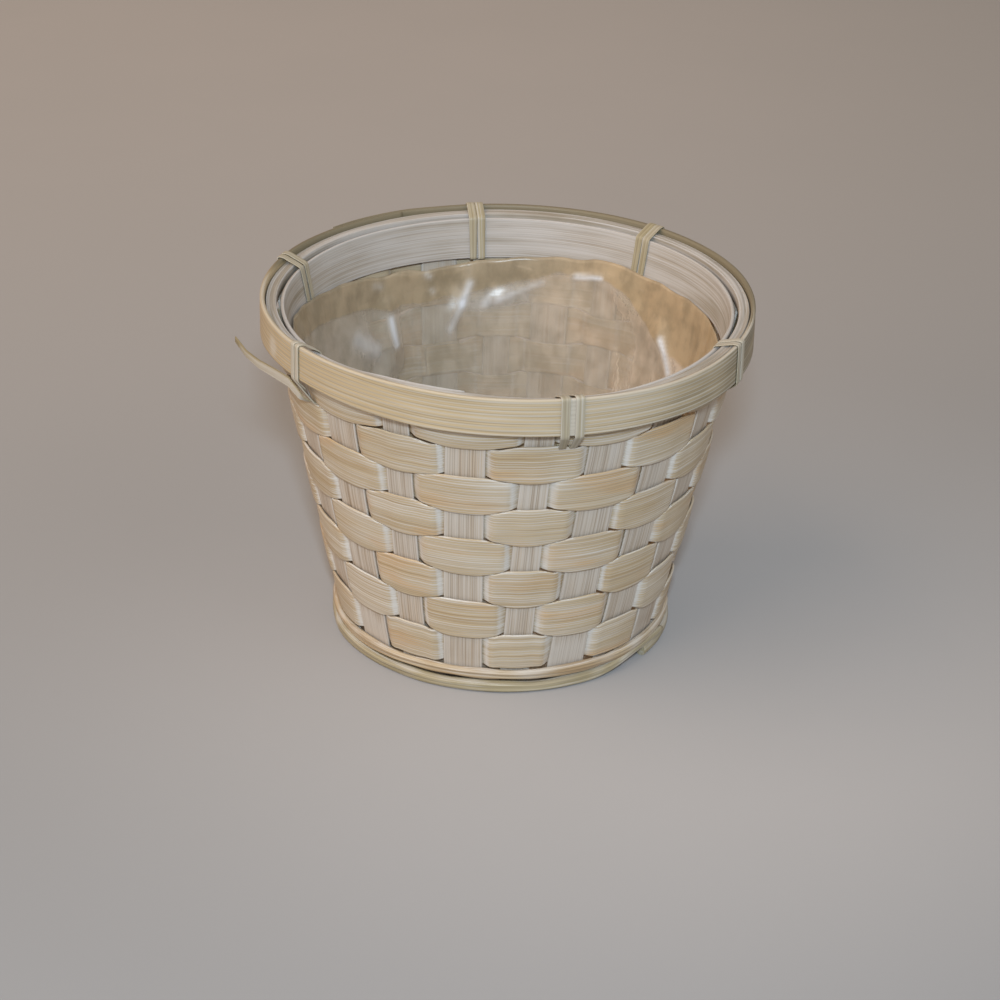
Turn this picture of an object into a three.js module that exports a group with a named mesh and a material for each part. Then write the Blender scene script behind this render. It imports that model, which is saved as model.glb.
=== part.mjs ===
// Round basket woven from flat bamboo splints, with a lashed double rim and a clear film liner.
// Millimetres, +Z up. The origin is the middle of the underside, and the front faces -Y.
// Azimuths are in degrees from the front and grow to the right, as the front is seen.

import * as THREE from 'three';

// Overall form: the middle surface of the uprights is a cone, carried down to the table.
const basketHeight = 120;
const wallRadiusAtTable = 53.5;
const wallRadiusAtRim = 78.4;
const clearance = 0.3;

// Uprights: ten long splints cross under the base, and both ends of each turn up the wall.
const stripsEachWay = 5;
const stakeThickness = 0.7;
const stakeWidth = 13.2;
const slimStakeWidth = 9.6;
const firstStakeAzimuth = -12.7;
const stakeLean = 3.9;
const footBendRadius = 4;
const plaitOpening = 2;
const plaitCornerMargin = 3;

// A strip turns its width from the plait's direction to the foot's on its way out. These are the
// shares of that turn midway to the foot and where the bend begins.
const midwayTurn = 0.4;
const bendStartTurn = 0.7;

// At the back the tops of the uprights were pushed aside to let a tie through.
const pushedAzimuth = 197.5;
const pushedAngle = -8.7;
const pushedSpread = 30;

// Weavers: eight splints run in and out round the wall, each a little narrower or wider.
// They share the wall between the foot and the rim in these proportions.
const weaverShares = [12.9, 13.4, 12.7, 12.2, 12.2, 12.0, 12.4, 11.6];
const weaverThickness = 0.8;
const firstWeaverHeight = 9.6;
const topWeaverBelowRim = 9.55;
const weaverGap = 0.5;
const weaverBulge = 0.5;
const weaverCrownShare = 0.4;
const weaverTuck = 0.2;
const weaverFlare = 2.6;
const stakeEdgeRoom = 0.5;
const weaverLapRoom = 0.8;

// Rim: a stout hoop outside, a thinner one inside, and a packing strip between them, which lies
// over the cut ends of the uprights.
const outerHoopThickness = 1.6;
const outerHoopDepth = 15;
const innerHoopThickness = 1.2;
const innerHoopDepth = 14.3;
const innerHoopDrop = 3.3;
const outerHoopStand = 2.1;
const packingThickness = 3.7;
const packingDepth = 4.6;
const packingDrop = 1.6;
const stakeTopBelowRim = packingDrop + packingDepth + 2 * clearance;
const hoopTip = 0.4;
const hoopLapAngle = 20;
const hoopLiftAngle = 10;
const outerHoopStartAzimuth = 208;
const innerHoopStartAzimuth = 330;
const packingStartAzimuth = 189.5;
const packingJointAngle = 1;

// Foot: two round strands lie round the base, one on the table and one under the first weaver.
const lowStrandWidth = 3.2;
const lowStrandDepth = 3;
const lowStrandEndAzimuth = 72;
const lowStrandTailAngle = 14;
const tailWidth = 2.2;
const tailDepth = 1.6;
const tailInset = 0.6;
const tailSpring = 1.2;
const highStrandThickness = 2.2;
const highStrandDepth = 3;
const highStrandHeight = 7.5;
const highStrandStartAzimuth = 185;

// Ties: a narrow strip of bamboo skin goes twice round both hoops at each of six places.
const tieWidth = 3;
const tieWaist = 2.4;
const tieThickness = 0.4;
const tieOpening = 1;
const tieSpread = 2.45;
const tiePinch = 1.35;
const ties = [
  { top: 14.8, bottom: 15.2 },
  { top: 66.5, bottom: 70 },
  { top: 141, bottom: 143 },
  { top: 189, bottom: 189 },
  { top: 250, bottom: 251.5 },
  { top: 305.2, bottom: 305.6, loose: true },
];

// Liner: a bag of clear film with soft pleats, which stands on the plait under the inner hoop.
const filmThickness = 0.4;
const linerPleats = 12;
const pleatDepth = 1;
const linerTopRoom = 0.4;
const linerCornerRadius = 7;
const linerSag = 5;
const linerSagAzimuth = 125;
const linerSagSpread = 32;

// How finely round things are cut into flats.
const roundStep = 5;
const bendSteps = 3;
const wallSteps = 3;
const linerRings = 5;
const linerStepsPerPleat = 4;

const bambooTan = new THREE.MeshStandardMaterial({ color: 0xd9c49a, roughness: 0.7, metalness: 0 });
const bambooPale = new THREE.MeshStandardMaterial({ color: 0xd8cfc2, roughness: 0.8, metalness: 0 });
const bambooHoop = new THREE.MeshStandardMaterial({ color: 0xcdb68a, roughness: 0.6, metalness: 0 });
const bambooGrey = new THREE.MeshStandardMaterial({ color: 0xb9b4aa, roughness: 0.8, metalness: 0 });
const bambooSkin = new THREE.MeshStandardMaterial({ color: 0xb8ab78, roughness: 0.5, metalness: 0 });
const clearFilm = new THREE.MeshStandardMaterial({
  color: 0xd6d3bd,
  roughness: 0.15,
  metalness: 0,
  transparent: true,
  opacity: 0.35,
});

const { degToRad, clamp, lerp, smoothstep } = THREE.MathUtils;
const up = new THREE.Vector3(0, 0, 1);

function outward(azimuth) {
  const angle = degToRad(azimuth);
  return new THREE.Vector3(Math.sin(angle), -Math.cos(angle), 0);
}

function alongRim(azimuth) {
  const angle = degToRad(azimuth);
  return new THREE.Vector3(Math.cos(angle), Math.sin(angle), 0);
}

function roundPoint(azimuth, radius, z, across = 0) {
  return outward(azimuth)
    .multiplyScalar(radius)
    .addScaledVector(alongRim(azimuth), across)
    .addScaledVector(up, z);
}

// The wall leans out by this angle. Heights on the wall are measured up its slope.
const wallAngle = Math.atan2(wallRadiusAtRim - wallRadiusAtTable, basketHeight);
const wallSine = Math.sin(wallAngle);
const wallCosine = Math.cos(wallAngle);
const wallLength = basketHeight / wallCosine;

function wallRadius(slope, out = 0) {
  return wallRadiusAtTable + slope * wallSine + out * wallCosine;
}

function wallHeight(slope, out = 0) {
  return slope * wallCosine - out * wallSine;
}

function wallPoint(azimuth, slope, out, across = 0) {
  return roundPoint(azimuth, wallRadius(slope, out), wallHeight(slope, out), across);
}

function upWall(azimuth) {
  return outward(azimuth).multiplyScalar(wallSine).addScaledVector(up, wallCosine);
}

function slopeAtHeight(z) {
  return z / wallCosine;
}

// How far the edges of a flat strip stand further out than its middle, on a round wall.
function edgeRise(radius, width) {
  return Math.hypot(radius, width / 2) - radius;
}

// A closed solid through rings of corners, with a flat cap on each end.
function sweptSolid(rings) {
  const corners = rings[0].length;
  const positions = rings.flat().flatMap((corner) => corner.toArray());
  const faces = [];
  for (let ring = 0; ring < rings.length - 1; ring += 1) {
    for (let corner = 0; corner < corners; corner += 1) {
      const next = (corner + 1) % corners;
      const here = ring * corners;
      const ahead = here + corners;
      faces.push(here + corner, here + next, ahead + next);
      faces.push(here + corner, ahead + next, ahead + corner);
    }
  }
  const last = (rings.length - 1) * corners;
  for (let corner = 1; corner < corners - 1; corner += 1) {
    faces.push(0, corner + 1, corner);
    faces.push(last, last + corner, last + corner + 1);
  }
  return facingOut(positions, faces);
}

// The six-fold volume under the faces tells which way round they are.
function facingOut(positions, faces) {
  const corner = (index) => new THREE.Vector3().fromArray(positions, index * 3);
  let volume = 0;
  for (let face = 0; face < faces.length; face += 3) {
    const [a, b, c] = [corner(faces[face]), corner(faces[face + 1]), corner(faces[face + 2])];
    volume += a.dot(b.cross(c));
  }
  const geometry = new THREE.BufferGeometry();
  geometry.setAttribute('position', new THREE.Float32BufferAttribute(positions, 3));
  geometry.setIndex(volume < 0 ? faces.reverse() : faces);
  geometry.computeVertexNormals();
  return geometry;
}

// A flat strip through points, each with the way its width lies. Corners are mitred, so that the
// strip keeps its thickness where it folds across its width.
function flatStrip(path, thickness) {
  const rings = path.map((point, index) => {
    const before = path[Math.max(index - 1, 0)].at;
    const after = path[Math.min(index + 1, path.length - 1)].at;
    const widthWay = point.widthWay.clone().normalize();
    const squareTo = (from, to) => {
      const way = to.clone().sub(from);
      return way.addScaledVector(widthWay, -way.dot(widthWay)).normalize();
    };
    const arriving = squareTo(index > 0 ? before : point.at, index > 0 ? point.at : after);
    const leaving = squareTo(index < path.length - 1 ? point.at : before, after);
    const mitre = 1 / Math.sqrt((1 + arriving.dot(leaving)) / 2);
    const width = widthWay.multiplyScalar(point.width / 2);
    const face = arriving.add(leaving).cross(width).setLength((thickness / 2) * mitre);
    return [
      point.at.clone().sub(width).sub(face),
      point.at.clone().add(width).sub(face),
      point.at.clone().add(width).add(face),
      point.at.clone().sub(width).add(face),
    ];
  });
  return sweptSolid(rings);
}

// Uprights are numbered round from the front one, which is 0.
const stakeCount = stripsEachWay * 4;
const stakeStep = 360 / stakeCount;
const outermost = (stripsEachWay - 1) / 2;

function stakeAzimuth(stake, slope) {
  const atTable = firstStakeAzimuth + stake * stakeStep;
  const aside = (((atTable - pushedAzimuth) % 360) + 540) % 360 - 180;
  const pushed = pushedAngle * Math.exp(-((aside / pushedSpread) ** 2));
  return atTable + (stakeLean + pushed) * (slope / wallLength);
}

// The strips beside the front one are slimmer, and so are their far ends.
function widthOfStake(stake) {
  const fromFront = ((stake % stakeCount) + stakeCount) % stakeCount;
  const slim = [1, stakeCount - 1, stakeCount / 2 - 1, stakeCount / 2 + 1];
  return slim.includes(fromFront) ? slimStakeWidth : stakeWidth;
}

// The plait under the base: strips are trimmed so that its corners lie inside the bend of the foot.
const lowLevel = stakeThickness / 2;
const highLevel = lowLevel + stakeThickness + clearance;
const bendReach = footBendRadius * Math.tan((Math.PI / 2 - wallAngle) / 2);
const footRadius = wallRadius(slopeAtHeight(lowLevel)) - bendReach;
const plaitHalf = (footRadius - plaitCornerMargin) / Math.SQRT2;
const plaitWidth = (plaitHalf - outermost * plaitOpening) / (outermost + 0.5);
const plaitPitch = plaitWidth + plaitOpening;

// One end of a strip, from the middle of the base to the rim.
function stakeEnd(groupAzimuth, offset, stake, levels) {
  const out = outward(groupAzimuth);
  const side = alongRim(groupAzimuth);
  const width = widthOfStake(stake);
  const trimmed = Math.min(width, plaitWidth);
  const flat = plaitWidth / 2 + clearance / 3;
  const inPlait = (distance, level) => ({
    at: out.clone().multiplyScalar(distance).addScaledVector(side, offset).addScaledVector(up, level),
    widthWay: side,
    width: trimmed,
  });
  const path = [];
  for (let crossing = 0; crossing <= outermost; crossing += 1) {
    const middle = crossing * plaitPitch;
    if (crossing > 0) path.push(inPlait(middle - flat, levels[crossing]));
    path.push(inPlait(middle + flat, levels[crossing]));
  }
  const level = levels[outermost];
  const plaitEnd = path[path.length - 1];
  const footAzimuth = stakeAzimuth(stake, 0);
  const bendStart = wallRadius(slopeAtHeight(level)) - bendReach;
  const bendAngle = Math.PI / 2 - wallAngle;
  const footWay = alongRim(footAzimuth);
  const footPoint = roundPoint(footAzimuth, bendStart, level);
  path.push({
    at: plaitEnd.at.clone().lerp(footPoint, 0.5),
    widthWay: side.clone().lerp(footWay, midwayTurn),
    width: lerp(trimmed, width, midwayTurn),
  });
  for (let step = 0; step <= bendSteps; step += 1) {
    const turn = (bendAngle * step) / bendSteps;
    const radius = bendStart + footBendRadius * Math.sin(turn);
    const z = level + footBendRadius * (1 - Math.cos(turn));
    path.push({
      at: roundPoint(footAzimuth, radius, z),
      widthWay: side.clone().lerp(footWay, lerp(bendStartTurn, 1, step / bendSteps)),
      width,
    });
  }
  const wallStart = slopeAtHeight(path[path.length - 1].at.z);
  const wallEnd = slopeAtHeight(basketHeight - stakeTopBelowRim);
  for (let step = 1; step <= wallSteps; step += 1) {
    const slope = lerp(wallStart, wallEnd, step / wallSteps);
    const azimuth = stakeAzimuth(stake, slope);
    path.push({ at: wallPoint(azimuth, slope, 0), widthWay: alongRim(azimuth), width });
  }
  return path;
}

// A whole strip: group 0 runs from front to back and group 1 from side to side.
function baseStrip(group, place) {
  const levels = (towards) => {
    const list = [];
    for (let crossing = 0; crossing <= outermost; crossing += 1) {
      const even = (place + crossing * towards + group) % 2 === 0;
      list.push(even ? highLevel : lowLevel);
    }
    return list;
  };
  const nearStake = group * stripsEachWay + place;
  const farStake = nearStake + stakeCount / 2 - 2 * place;
  const azimuth = firstStakeAzimuth + group * 90;
  const nearEnd = stakeEnd(azimuth, place * plaitPitch, nearStake, levels(1));
  const farEnd = stakeEnd(azimuth + 180, -place * plaitPitch, farStake, levels(-1));
  farEnd.forEach((point) => point.widthWay.negate());
  return flatStrip([...nearEnd.reverse(), ...farEnd], stakeThickness);
}

// Widths of the weavers, and heights of their middles up the wall. The ties go through in a
// wider gap under the top one.
const topWeaver = weaverShares.length - 1;
const gapsBetweenWeavers = (topWeaver - 1) * weaverGap + tieOpening;
const wallForWeavers = wallLength - firstWeaverHeight - topWeaverBelowRim - gapsBetweenWeavers;
const sumOfShares = weaverShares.reduce((sum, share) => sum + share, 0);
const weaverWidths = weaverShares.map((share) => (wallForWeavers * share) / sumOfShares);
const weaverMiddles = [];
let weaverEdge = firstWeaverHeight;
weaverWidths.forEach((width, row) => {
  weaverMiddles.push(weaverEdge + width / 2);
  weaverEdge += width + (row === topWeaver - 1 ? tieOpening : weaverGap);
});

const weaverStand = stakeThickness / 2 + clearance + weaverThickness / 2;
const lapStep = weaverThickness + clearance;

function weaver(row) {
  const middle = weaverMiddles[row];
  const width = weaverWidths[row];
  const topRow = row === topWeaver;
  const passesOutside = (stake) => Math.abs(row + stake) % 2 === 1;
  // The ends lap at the back, behind an upright, but in the rim they lap on its outside.
  const backStake = stakeCount / 2 + 1 + row % 4;
  const lapStake = passesOutside(backStake) === topRow ? backStake : backStake + 1;
  // Clear of the uprights' edges a splint lies over its neighbours' edges, so it can be at its
  // full width. The lowest one is held down to its own edge by the foot strand.
  const flareUp = topRow ? 0 : weaverFlare / 2;
  const flareDown = row === 0 ? 0 : flareUp;
  const path = [];
  const addPoint = (stake, across, out, flare = 0) => {
    const azimuth = stakeAzimuth(stake, middle);
    const slope = middle + (flare * (flareUp - flareDown)) / 2;
    const at = wallPoint(azimuth, slope, out, across);
    path.push({ at, widthWay: upWall(azimuth), width: width + flare * (flareUp + flareDown) });
  };
  for (let stake = lapStake; stake < lapStake + stakeCount; stake += 1) {
    const edge = widthOfStake(stake) / 2 + stakeEdgeRoom;
    const outside = passesOutside(stake);
    const stand = outside ? weaverStand : -weaverStand;
    const laps = stake === lapStake;
    addPoint(stake, -edge, stand);
    if (outside && !laps) {
      addPoint(stake, -weaverCrownShare * edge, stand + weaverBulge, 1);
      addPoint(stake, weaverCrownShare * edge, stand + weaverBulge, 1);
    } else if (!laps) {
      addPoint(stake, 0, stand - weaverTuck, 1);
    }
    addPoint(stake, edge, stand);
  }
  const lapEdge = widthOfStake(lapStake) / 2;
  const lapOut = (topRow ? 1 : -1) * (weaverStand + lapStep);
  addPoint(lapStake + stakeCount, -lapEdge - stakeEdgeRoom - weaverLapRoom, lapOut);
  addPoint(lapStake + stakeCount, lapEdge, lapOut);
  return flatStrip(path, weaverThickness);
}

// A strip bent once round, its ends thinned and lapped. The section gets the azimuth and
// how far the near and the far face of the strip lie from the surface that it is bent on.
function lappedRing(startAzimuth, thickness, section) {
  const rings = [];
  for (let angle = 0; angle <= 360 + hoopLapAngle; angle += roundStep) {
    const thickening = clamp(angle / hoopLapAngle, 0, 1);
    const thinning = clamp((angle - 360) / hoopLapAngle, 0, 1);
    const under = lerp(hoopTip, thickness, thinning);
    const near = smoothstep(angle, 360 - hoopLiftAngle, 360) * (under + clearance);
    const far = near + lerp(hoopTip, thickness, Math.min(thickening, 1 - thinning));
    rings.push(section(startAzimuth + angle, near, far));
  }
  return sweptSolid(rings);
}

// The outer hoop stands off the wall, and the packing strip lies inside it.
const packingTop = basketHeight - packingDrop;
const wallFaceAtPacking = wallRadius(slopeAtHeight(packingTop), stakeThickness / 2);
const wallCornerAtPacking = wallFaceAtPacking + edgeRise(wallFaceAtPacking, stakeWidth);
const outerHoopRadius = wallCornerAtPacking + outerHoopStand;
const packingRadius = outerHoopRadius - clearance - packingThickness;
const outerHoopFace = outerHoopRadius + outerHoopThickness;
const outerHoopBottom = basketHeight - outerHoopDepth;

function uprightSection(radius, bottom, top) {
  return (azimuth, near, far) => [
    roundPoint(azimuth, radius + near, bottom),
    roundPoint(azimuth, radius + far, bottom),
    roundPoint(azimuth, radius + far, top),
    roundPoint(azimuth, radius + near, top),
  ];
}

function outerHoop() {
  const section = uprightSection(outerHoopRadius, outerHoopBottom, basketHeight);
  return lappedRing(outerHoopStartAzimuth, outerHoopThickness, section);
}

// The packing strip is cut to meet end to end.
function rimPacking() {
  const section = uprightSection(packingRadius, packingTop - packingDepth, packingTop);
  const rings = [];
  const sweep = 360 - packingJointAngle;
  const steps = 360 / roundStep;
  for (let step = 0; step <= steps; step += 1) {
    rings.push(section(packingStartAzimuth + (sweep * step) / steps, 0, packingThickness));
  }
  return sweptSolid(rings);
}

// The inner hoop lies on the insides of the top weaver, so it leans as the wall does.
const innerHoopOut = -(weaverStand + weaverTuck + weaverThickness / 2 + clearance);
const innerHoopTop = slopeAtHeight(basketHeight - innerHoopDrop);
const innerHoopBottom = innerHoopTop - innerHoopDepth;

function innerHoop() {
  const section = (azimuth, near, far) => [
    wallPoint(azimuth, innerHoopBottom, innerHoopOut - near),
    wallPoint(azimuth, innerHoopBottom, innerHoopOut - far),
    wallPoint(azimuth, innerHoopTop, innerHoopOut - far),
    wallPoint(azimuth, innerHoopTop, innerHoopOut - near),
  ];
  return lappedRing(innerHoopStartAzimuth, innerHoopThickness, section);
}

// A strand is round above and below, with a narrow flat on each, and pointed at its sides.
const strandOutline = [
  [0.2, 0],
  [0.8, 0],
  [1, 0.5],
  [0.8, 1],
  [0.2, 1],
  [0, 0.5],
];

// The strand on the table goes once round, and its tail climbs over its own start.
function lowStrand() {
  const wallFace = wallRadius(slopeAtHeight(lowStrandDepth), stakeThickness / 2);
  const inside = wallFace + edgeRise(wallFace, stakeWidth) + clearance;
  const start = lowStrandEndAzimuth - lowStrandTailAngle;
  const rings = [];
  for (let angle = 0; angle <= 360 + lowStrandTailAngle; angle += roundStep) {
    const climb = smoothstep(angle, 360 - 2 * lowStrandTailAngle, 360 - roundStep / 2);
    const width = lerp(lowStrandWidth, tailWidth, climb);
    const depth = lerp(lowStrandDepth, tailDepth, climb);
    const bottom = climb * (lowStrandDepth + clearance);
    const spring = smoothstep(angle, 360, 360 + lowStrandTailAngle) * tailSpring;
    const innerRadius = inside + climb * tailInset + spring;
    rings.push(
      strandOutline.map(([x, y]) =>
        roundPoint(start + angle, innerRadius + x * width, bottom + y * depth),
      ),
    );
  }
  return sweptSolid(rings);
}

// The upper strand lies on the uprights just under the first weaver, its ends lapped at the back.
function highStrand() {
  const middle = slopeAtHeight(highStrandHeight);
  const rise = edgeRise(wallRadius(middle), stakeWidth);
  const face = stakeThickness / 2 + rise + clearance;
  return lappedRing(highStrandStartAzimuth, highStrandThickness, (azimuth, near, far) =>
    strandOutline.map(([x, y]) =>
      wallPoint(azimuth, middle + (y - 0.5) * highStrandDepth, face + lerp(near, far, x)),
    ),
  );
}

// A tie goes through the wall under the top weaver, up the outside, over both hoops,
// down the inside and under the inner hoop, and round again beside itself.
const tieSlope = weaverMiddles[topWeaver] - (weaverWidths[topWeaver] + tieOpening) / 2;
const tieStand = clearance + tieThickness / 2;
const tieOutside = weaverStand + weaverBulge + weaverThickness / 2 + tieStand;
const tieInside = weaverStand + weaverTuck + weaverThickness / 2 + tieStand;

function tieWallPoint(azimuth, slope, out, across) {
  return { at: wallPoint(azimuth, slope, out, across), widthWay: alongRim(azimuth), width: tieWaist };
}

function tieRimPoint(azimuth, radius, z, across) {
  return { at: roundPoint(azimuth, radius, z, across), widthWay: alongRim(azimuth), width: tieWidth };
}

// One turn, on the given side of the tie's middle, from outside the wall over the rim to its inside.
function tieTurn(tie, side, outsideAcross, crossing, insideAcross) {
  const across = side * tieSpread;
  const innerFace = innerHoopOut - innerHoopThickness;
  const edgeRoom = edgeRise(wallRadius(innerHoopBottom, innerFace), 2 * tieSpread + tieWidth);
  const inside = innerFace - tieStand - edgeRoom;
  const underHoop = innerHoopBottom - tieStand;
  const hoopTop = wallHeight(innerHoopTop, inside) + tieStand;
  return [
    tieWallPoint(tie.bottom, tieSlope, tieOutside, outsideAcross),
    tieRimPoint(tie.top, outerHoopFace + tieStand, outerHoopBottom - tieStand, across),
    tieRimPoint(tie.top, outerHoopFace + tieStand, basketHeight + tieStand, across),
    tieRimPoint(tie.top, outerHoopRadius, basketHeight + tieStand, across),
    tieRimPoint(tie.top, wallRadius(innerHoopTop, inside), hoopTop, across),
    tieWallPoint(tie.top, underHoop, inside, across),
    tieWallPoint(tie.bottom, underHoop, -tieInside, crossing),
    tieWallPoint(tie.bottom, tieSlope, -tieInside, insideAcross),
  ];
}

// The loose end springs off along its tangent and stands on its edge. Its heights are measured
// from the underside of the outer hoop, at distances from the tie.
const looseEndRoom = 3.63;
const looseEndRadius = wallRadius(tieSlope, tieOutside) + looseEndRoom;
const looseEndDistances = [43, 36, 28, 18, 9];
const looseEndDrops = [-0.4, 2.2, 2.8, 2.3, 2.1];
// Near the tie it passes two places before it goes into the wall: how far each lies up from the
// hole, out from the tie and beyond its strip.
const looseEndBehindTie = { above: 3, out: 2.6, beyond: 2 };
const looseEndTwisting = { above: 1, out: 1.4, beyond: 1 };
const looseEndTilt = 1.4;
const tuckedEndDepth = 1;

function looseEnd(tie) {
  const points = looseEndDistances.map((distance, index) => ({
    at: roundPoint(tie.bottom, looseEndRadius, outerHoopBottom - looseEndDrops[index], -distance),
    widthWay: up.clone(),
    width: index === 0 ? tieWidth / 2 : tieWidth,
  }));
  const beside = (place, across) =>
    tieWallPoint(tie.bottom, tieSlope + place.above, tieOutside + place.out, -across - place.beyond);
  const behindTie = beside(looseEndBehindTie, tieSpread);
  behindTie.widthWay = up.clone();
  const twisting = beside(looseEndTwisting, tiePinch);
  twisting.widthWay.add(outward(tie.bottom)).addScaledVector(up, looseEndTilt);
  const goingIn = tieWallPoint(tie.bottom, tieSlope, tieOutside - tieStand, -tiePinch);
  return [...points, behindTie, twisting, goingIn];
}

function rimTie(tie) {
  if (tie.loose) {
    const firstTurn = tieTurn(tie, -1, tiePinch, -tiePinch, -tiePinch).reverse();
    const secondTurn = tieTurn(tie, 1, tiePinch, tiePinch, tiePinch).reverse().slice(0, -1);
    const hoopUnderside = outerHoopBottom - tieStand;
    const tucked = tieRimPoint(tie.top, outerHoopRadius - tuckedEndDepth, hoopUnderside, tieSpread);
    return flatStrip([...looseEnd(tie), ...firstTurn, ...secondTurn, tucked], tieThickness);
  }
  const start = tieWallPoint(tie.bottom, tieSlope, -stakeThickness, -tiePinch);
  const firstTurn = tieTurn(tie, -1, -tiePinch, 0, tiePinch);
  const secondTurn = tieTurn(tie, 1, tiePinch, tieSpread, tiePinch).slice(0, -1);
  return flatStrip([start, ...firstTurn, ...secondTurn], tieThickness);
}

// The bag of film is made of rings of points on its outer and inner skin, from the edge of the
// floor up to the top, with a point in the middle of each floor.
function linerTop(azimuth) {
  const aside = (((azimuth - linerSagAzimuth) % 360) + 540) % 360 - 180;
  const sag = linerSag * Math.exp(-((aside / linerSagSpread) ** 2));
  return innerHoopBottom - 2 * tieStand - linerTopRoom - sag;
}

function linerPoint(azimuth, level, inset) {
  const out = -(weaverStand + lapStep + weaverThickness / 2 + clearance) - inset;
  const floor = highLevel + stakeThickness / 2 + clearance + inset;
  const cornerSlope = slopeAtHeight(floor + linerCornerRadius);
  if (level === 0) return roundPoint(azimuth, wallRadius(0, out) - linerCornerRadius, floor);
  const share = (level - 1) / (linerRings - 2);
  const slope = lerp(cornerSlope, linerTop(azimuth), share);
  const pleat = (1 - Math.cos(degToRad(azimuth * linerPleats))) / 2;
  return wallPoint(azimuth, slope, out - pleat * pleatDepth * Math.sqrt(share));
}

function liner() {
  const around = linerPleats * linerStepsPerPleat;
  const step = 360 / around;
  const positions = [];
  const faces = [];
  const floorOutside = highLevel + stakeThickness / 2 + clearance;
  const skins = [0, filmThickness];
  for (const inset of skins) {
    for (let level = 0; level < linerRings; level += 1) {
      for (let place = 0; place < around; place += 1) {
        positions.push(...linerPoint(place * step, level, inset).toArray());
      }
    }
  }
  const middles = skins.map((inset) => {
    positions.push(0, 0, floorOutside + inset);
    return positions.length / 3 - 1;
  });
  const vertex = (skin, level, place) => (skin * linerRings + level) * around + (place % around);
  const addQuad = (a, b, c, d) => faces.push(a, b, c, a, c, d);
  for (let place = 0; place < around; place += 1) {
    for (let level = 0; level < linerRings - 1; level += 1) {
      addQuad(
        vertex(0, level, place),
        vertex(0, level, place + 1),
        vertex(0, level + 1, place + 1),
        vertex(0, level + 1, place),
      );
      addQuad(
        vertex(1, level, place + 1),
        vertex(1, level, place),
        vertex(1, level + 1, place),
        vertex(1, level + 1, place + 1),
      );
    }
    const edge = linerRings - 1;
    addQuad(
      vertex(0, edge, place),
      vertex(0, edge, place + 1),
      vertex(1, edge, place + 1),
      vertex(1, edge, place),
    );
    faces.push(middles[0], vertex(0, 0, place + 1), vertex(0, 0, place));
    faces.push(middles[1], vertex(1, 0, place), vertex(1, 0, place + 1));
  }
  return facingOut(positions, faces);
}

const basket = new THREE.Group();

function add(name, geometry, material) {
  const mesh = new THREE.Mesh(geometry, material);
  mesh.name = name;
  basket.add(mesh);
}

for (let group = 0; group < 2; group += 1) {
  for (let strip = 0; strip < stripsEachWay; strip += 1) {
    const letter = group === 0 ? 'a' : 'b';
    add(`stake_strip_${letter}${strip + 1}`, baseStrip(group, strip - outermost), bambooPale);
  }
}
weaverWidths.forEach((_, row) => add(`weaver_${row + 1}`, weaver(row), bambooTan));
add('rim_hoop_outer', outerHoop(), bambooHoop);
add('rim_hoop_inner', innerHoop(), bambooGrey);
add('rim_packing', rimPacking(), bambooGrey);
add('foot_strand_lower', lowStrand(), bambooSkin);
add('foot_strand_upper', highStrand(), bambooHoop);
ties.forEach((tie, index) => add(`rim_tie_${index + 1}`, rimTie(tie), bambooSkin));
add('film_liner', liner(), clearFilm);

export default basket;
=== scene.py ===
import bpy
import numpy as np
from mathutils import Matrix


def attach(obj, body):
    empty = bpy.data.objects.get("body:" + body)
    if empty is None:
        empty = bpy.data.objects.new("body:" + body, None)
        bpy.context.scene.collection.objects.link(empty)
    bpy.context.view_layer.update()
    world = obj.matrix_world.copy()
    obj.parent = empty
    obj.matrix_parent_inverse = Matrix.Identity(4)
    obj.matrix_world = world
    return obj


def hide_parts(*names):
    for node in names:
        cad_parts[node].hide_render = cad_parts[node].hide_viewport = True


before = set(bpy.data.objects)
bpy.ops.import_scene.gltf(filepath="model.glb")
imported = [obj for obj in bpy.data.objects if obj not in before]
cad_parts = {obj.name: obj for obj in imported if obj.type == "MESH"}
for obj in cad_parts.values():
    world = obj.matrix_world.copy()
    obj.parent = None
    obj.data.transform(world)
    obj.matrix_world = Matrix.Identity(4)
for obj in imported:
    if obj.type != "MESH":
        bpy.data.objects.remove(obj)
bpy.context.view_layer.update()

# Camera: a long lens about a metre away, which looks 26 degrees down on the basket. It is held
# slightly turned, and the middle of the basket lies a little above the middle of the picture.
lens_in_pixels = 3000.0
picture_middle = 500.0
elevation = np.radians(25.80)
camera_distance = 1.0257
camera_roll = 0.0250
aim_height = 0.060
aim_across, aim_down = 503.97, 454.79


def placed(name, data, axes=None):
    """A new object in the scene. Its three axes and its place can be given."""
    thing = bpy.data.objects.new(name, data)
    bpy.context.scene.collection.objects.link(thing)
    if axes is not None:
        thing.matrix_world = Matrix([*np.stack(axes, axis=1).tolist(), [0, 0, 0, 1]])
    return thing


forward = np.array([0.0, np.cos(elevation), -np.sin(elevation)])
upward = np.array([0.0, np.sin(elevation), np.cos(elevation)])
rightward = np.array([1.0, 0.0, 0.0])
pan = np.arctan2(aim_across - picture_middle, lens_in_pixels)
tilt = np.arctan2(aim_down - picture_middle, lens_in_pixels)
turns = Matrix.Rotation(pan, 3, "Y") @ Matrix.Rotation(-tilt, 3, "X")
turns = turns @ Matrix.Rotation(camera_roll, 3, "Z")
seen = np.array(turns) @ np.stack([rightward, -upward, forward])
camera_place = np.array([0.0, 0.0, aim_height]) - forward * camera_distance

camera_data = bpy.data.cameras.new("camera")
camera_data.sensor_width = 36.0
camera_data.lens = camera_data.sensor_width * lens_in_pixels / (2 * picture_middle)
camera_data.clip_start = 0.01
camera = placed("camera", camera_data, [seen[0], -seen[1], -seen[2], camera_place])
bpy.context.scene.camera = camera

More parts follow.
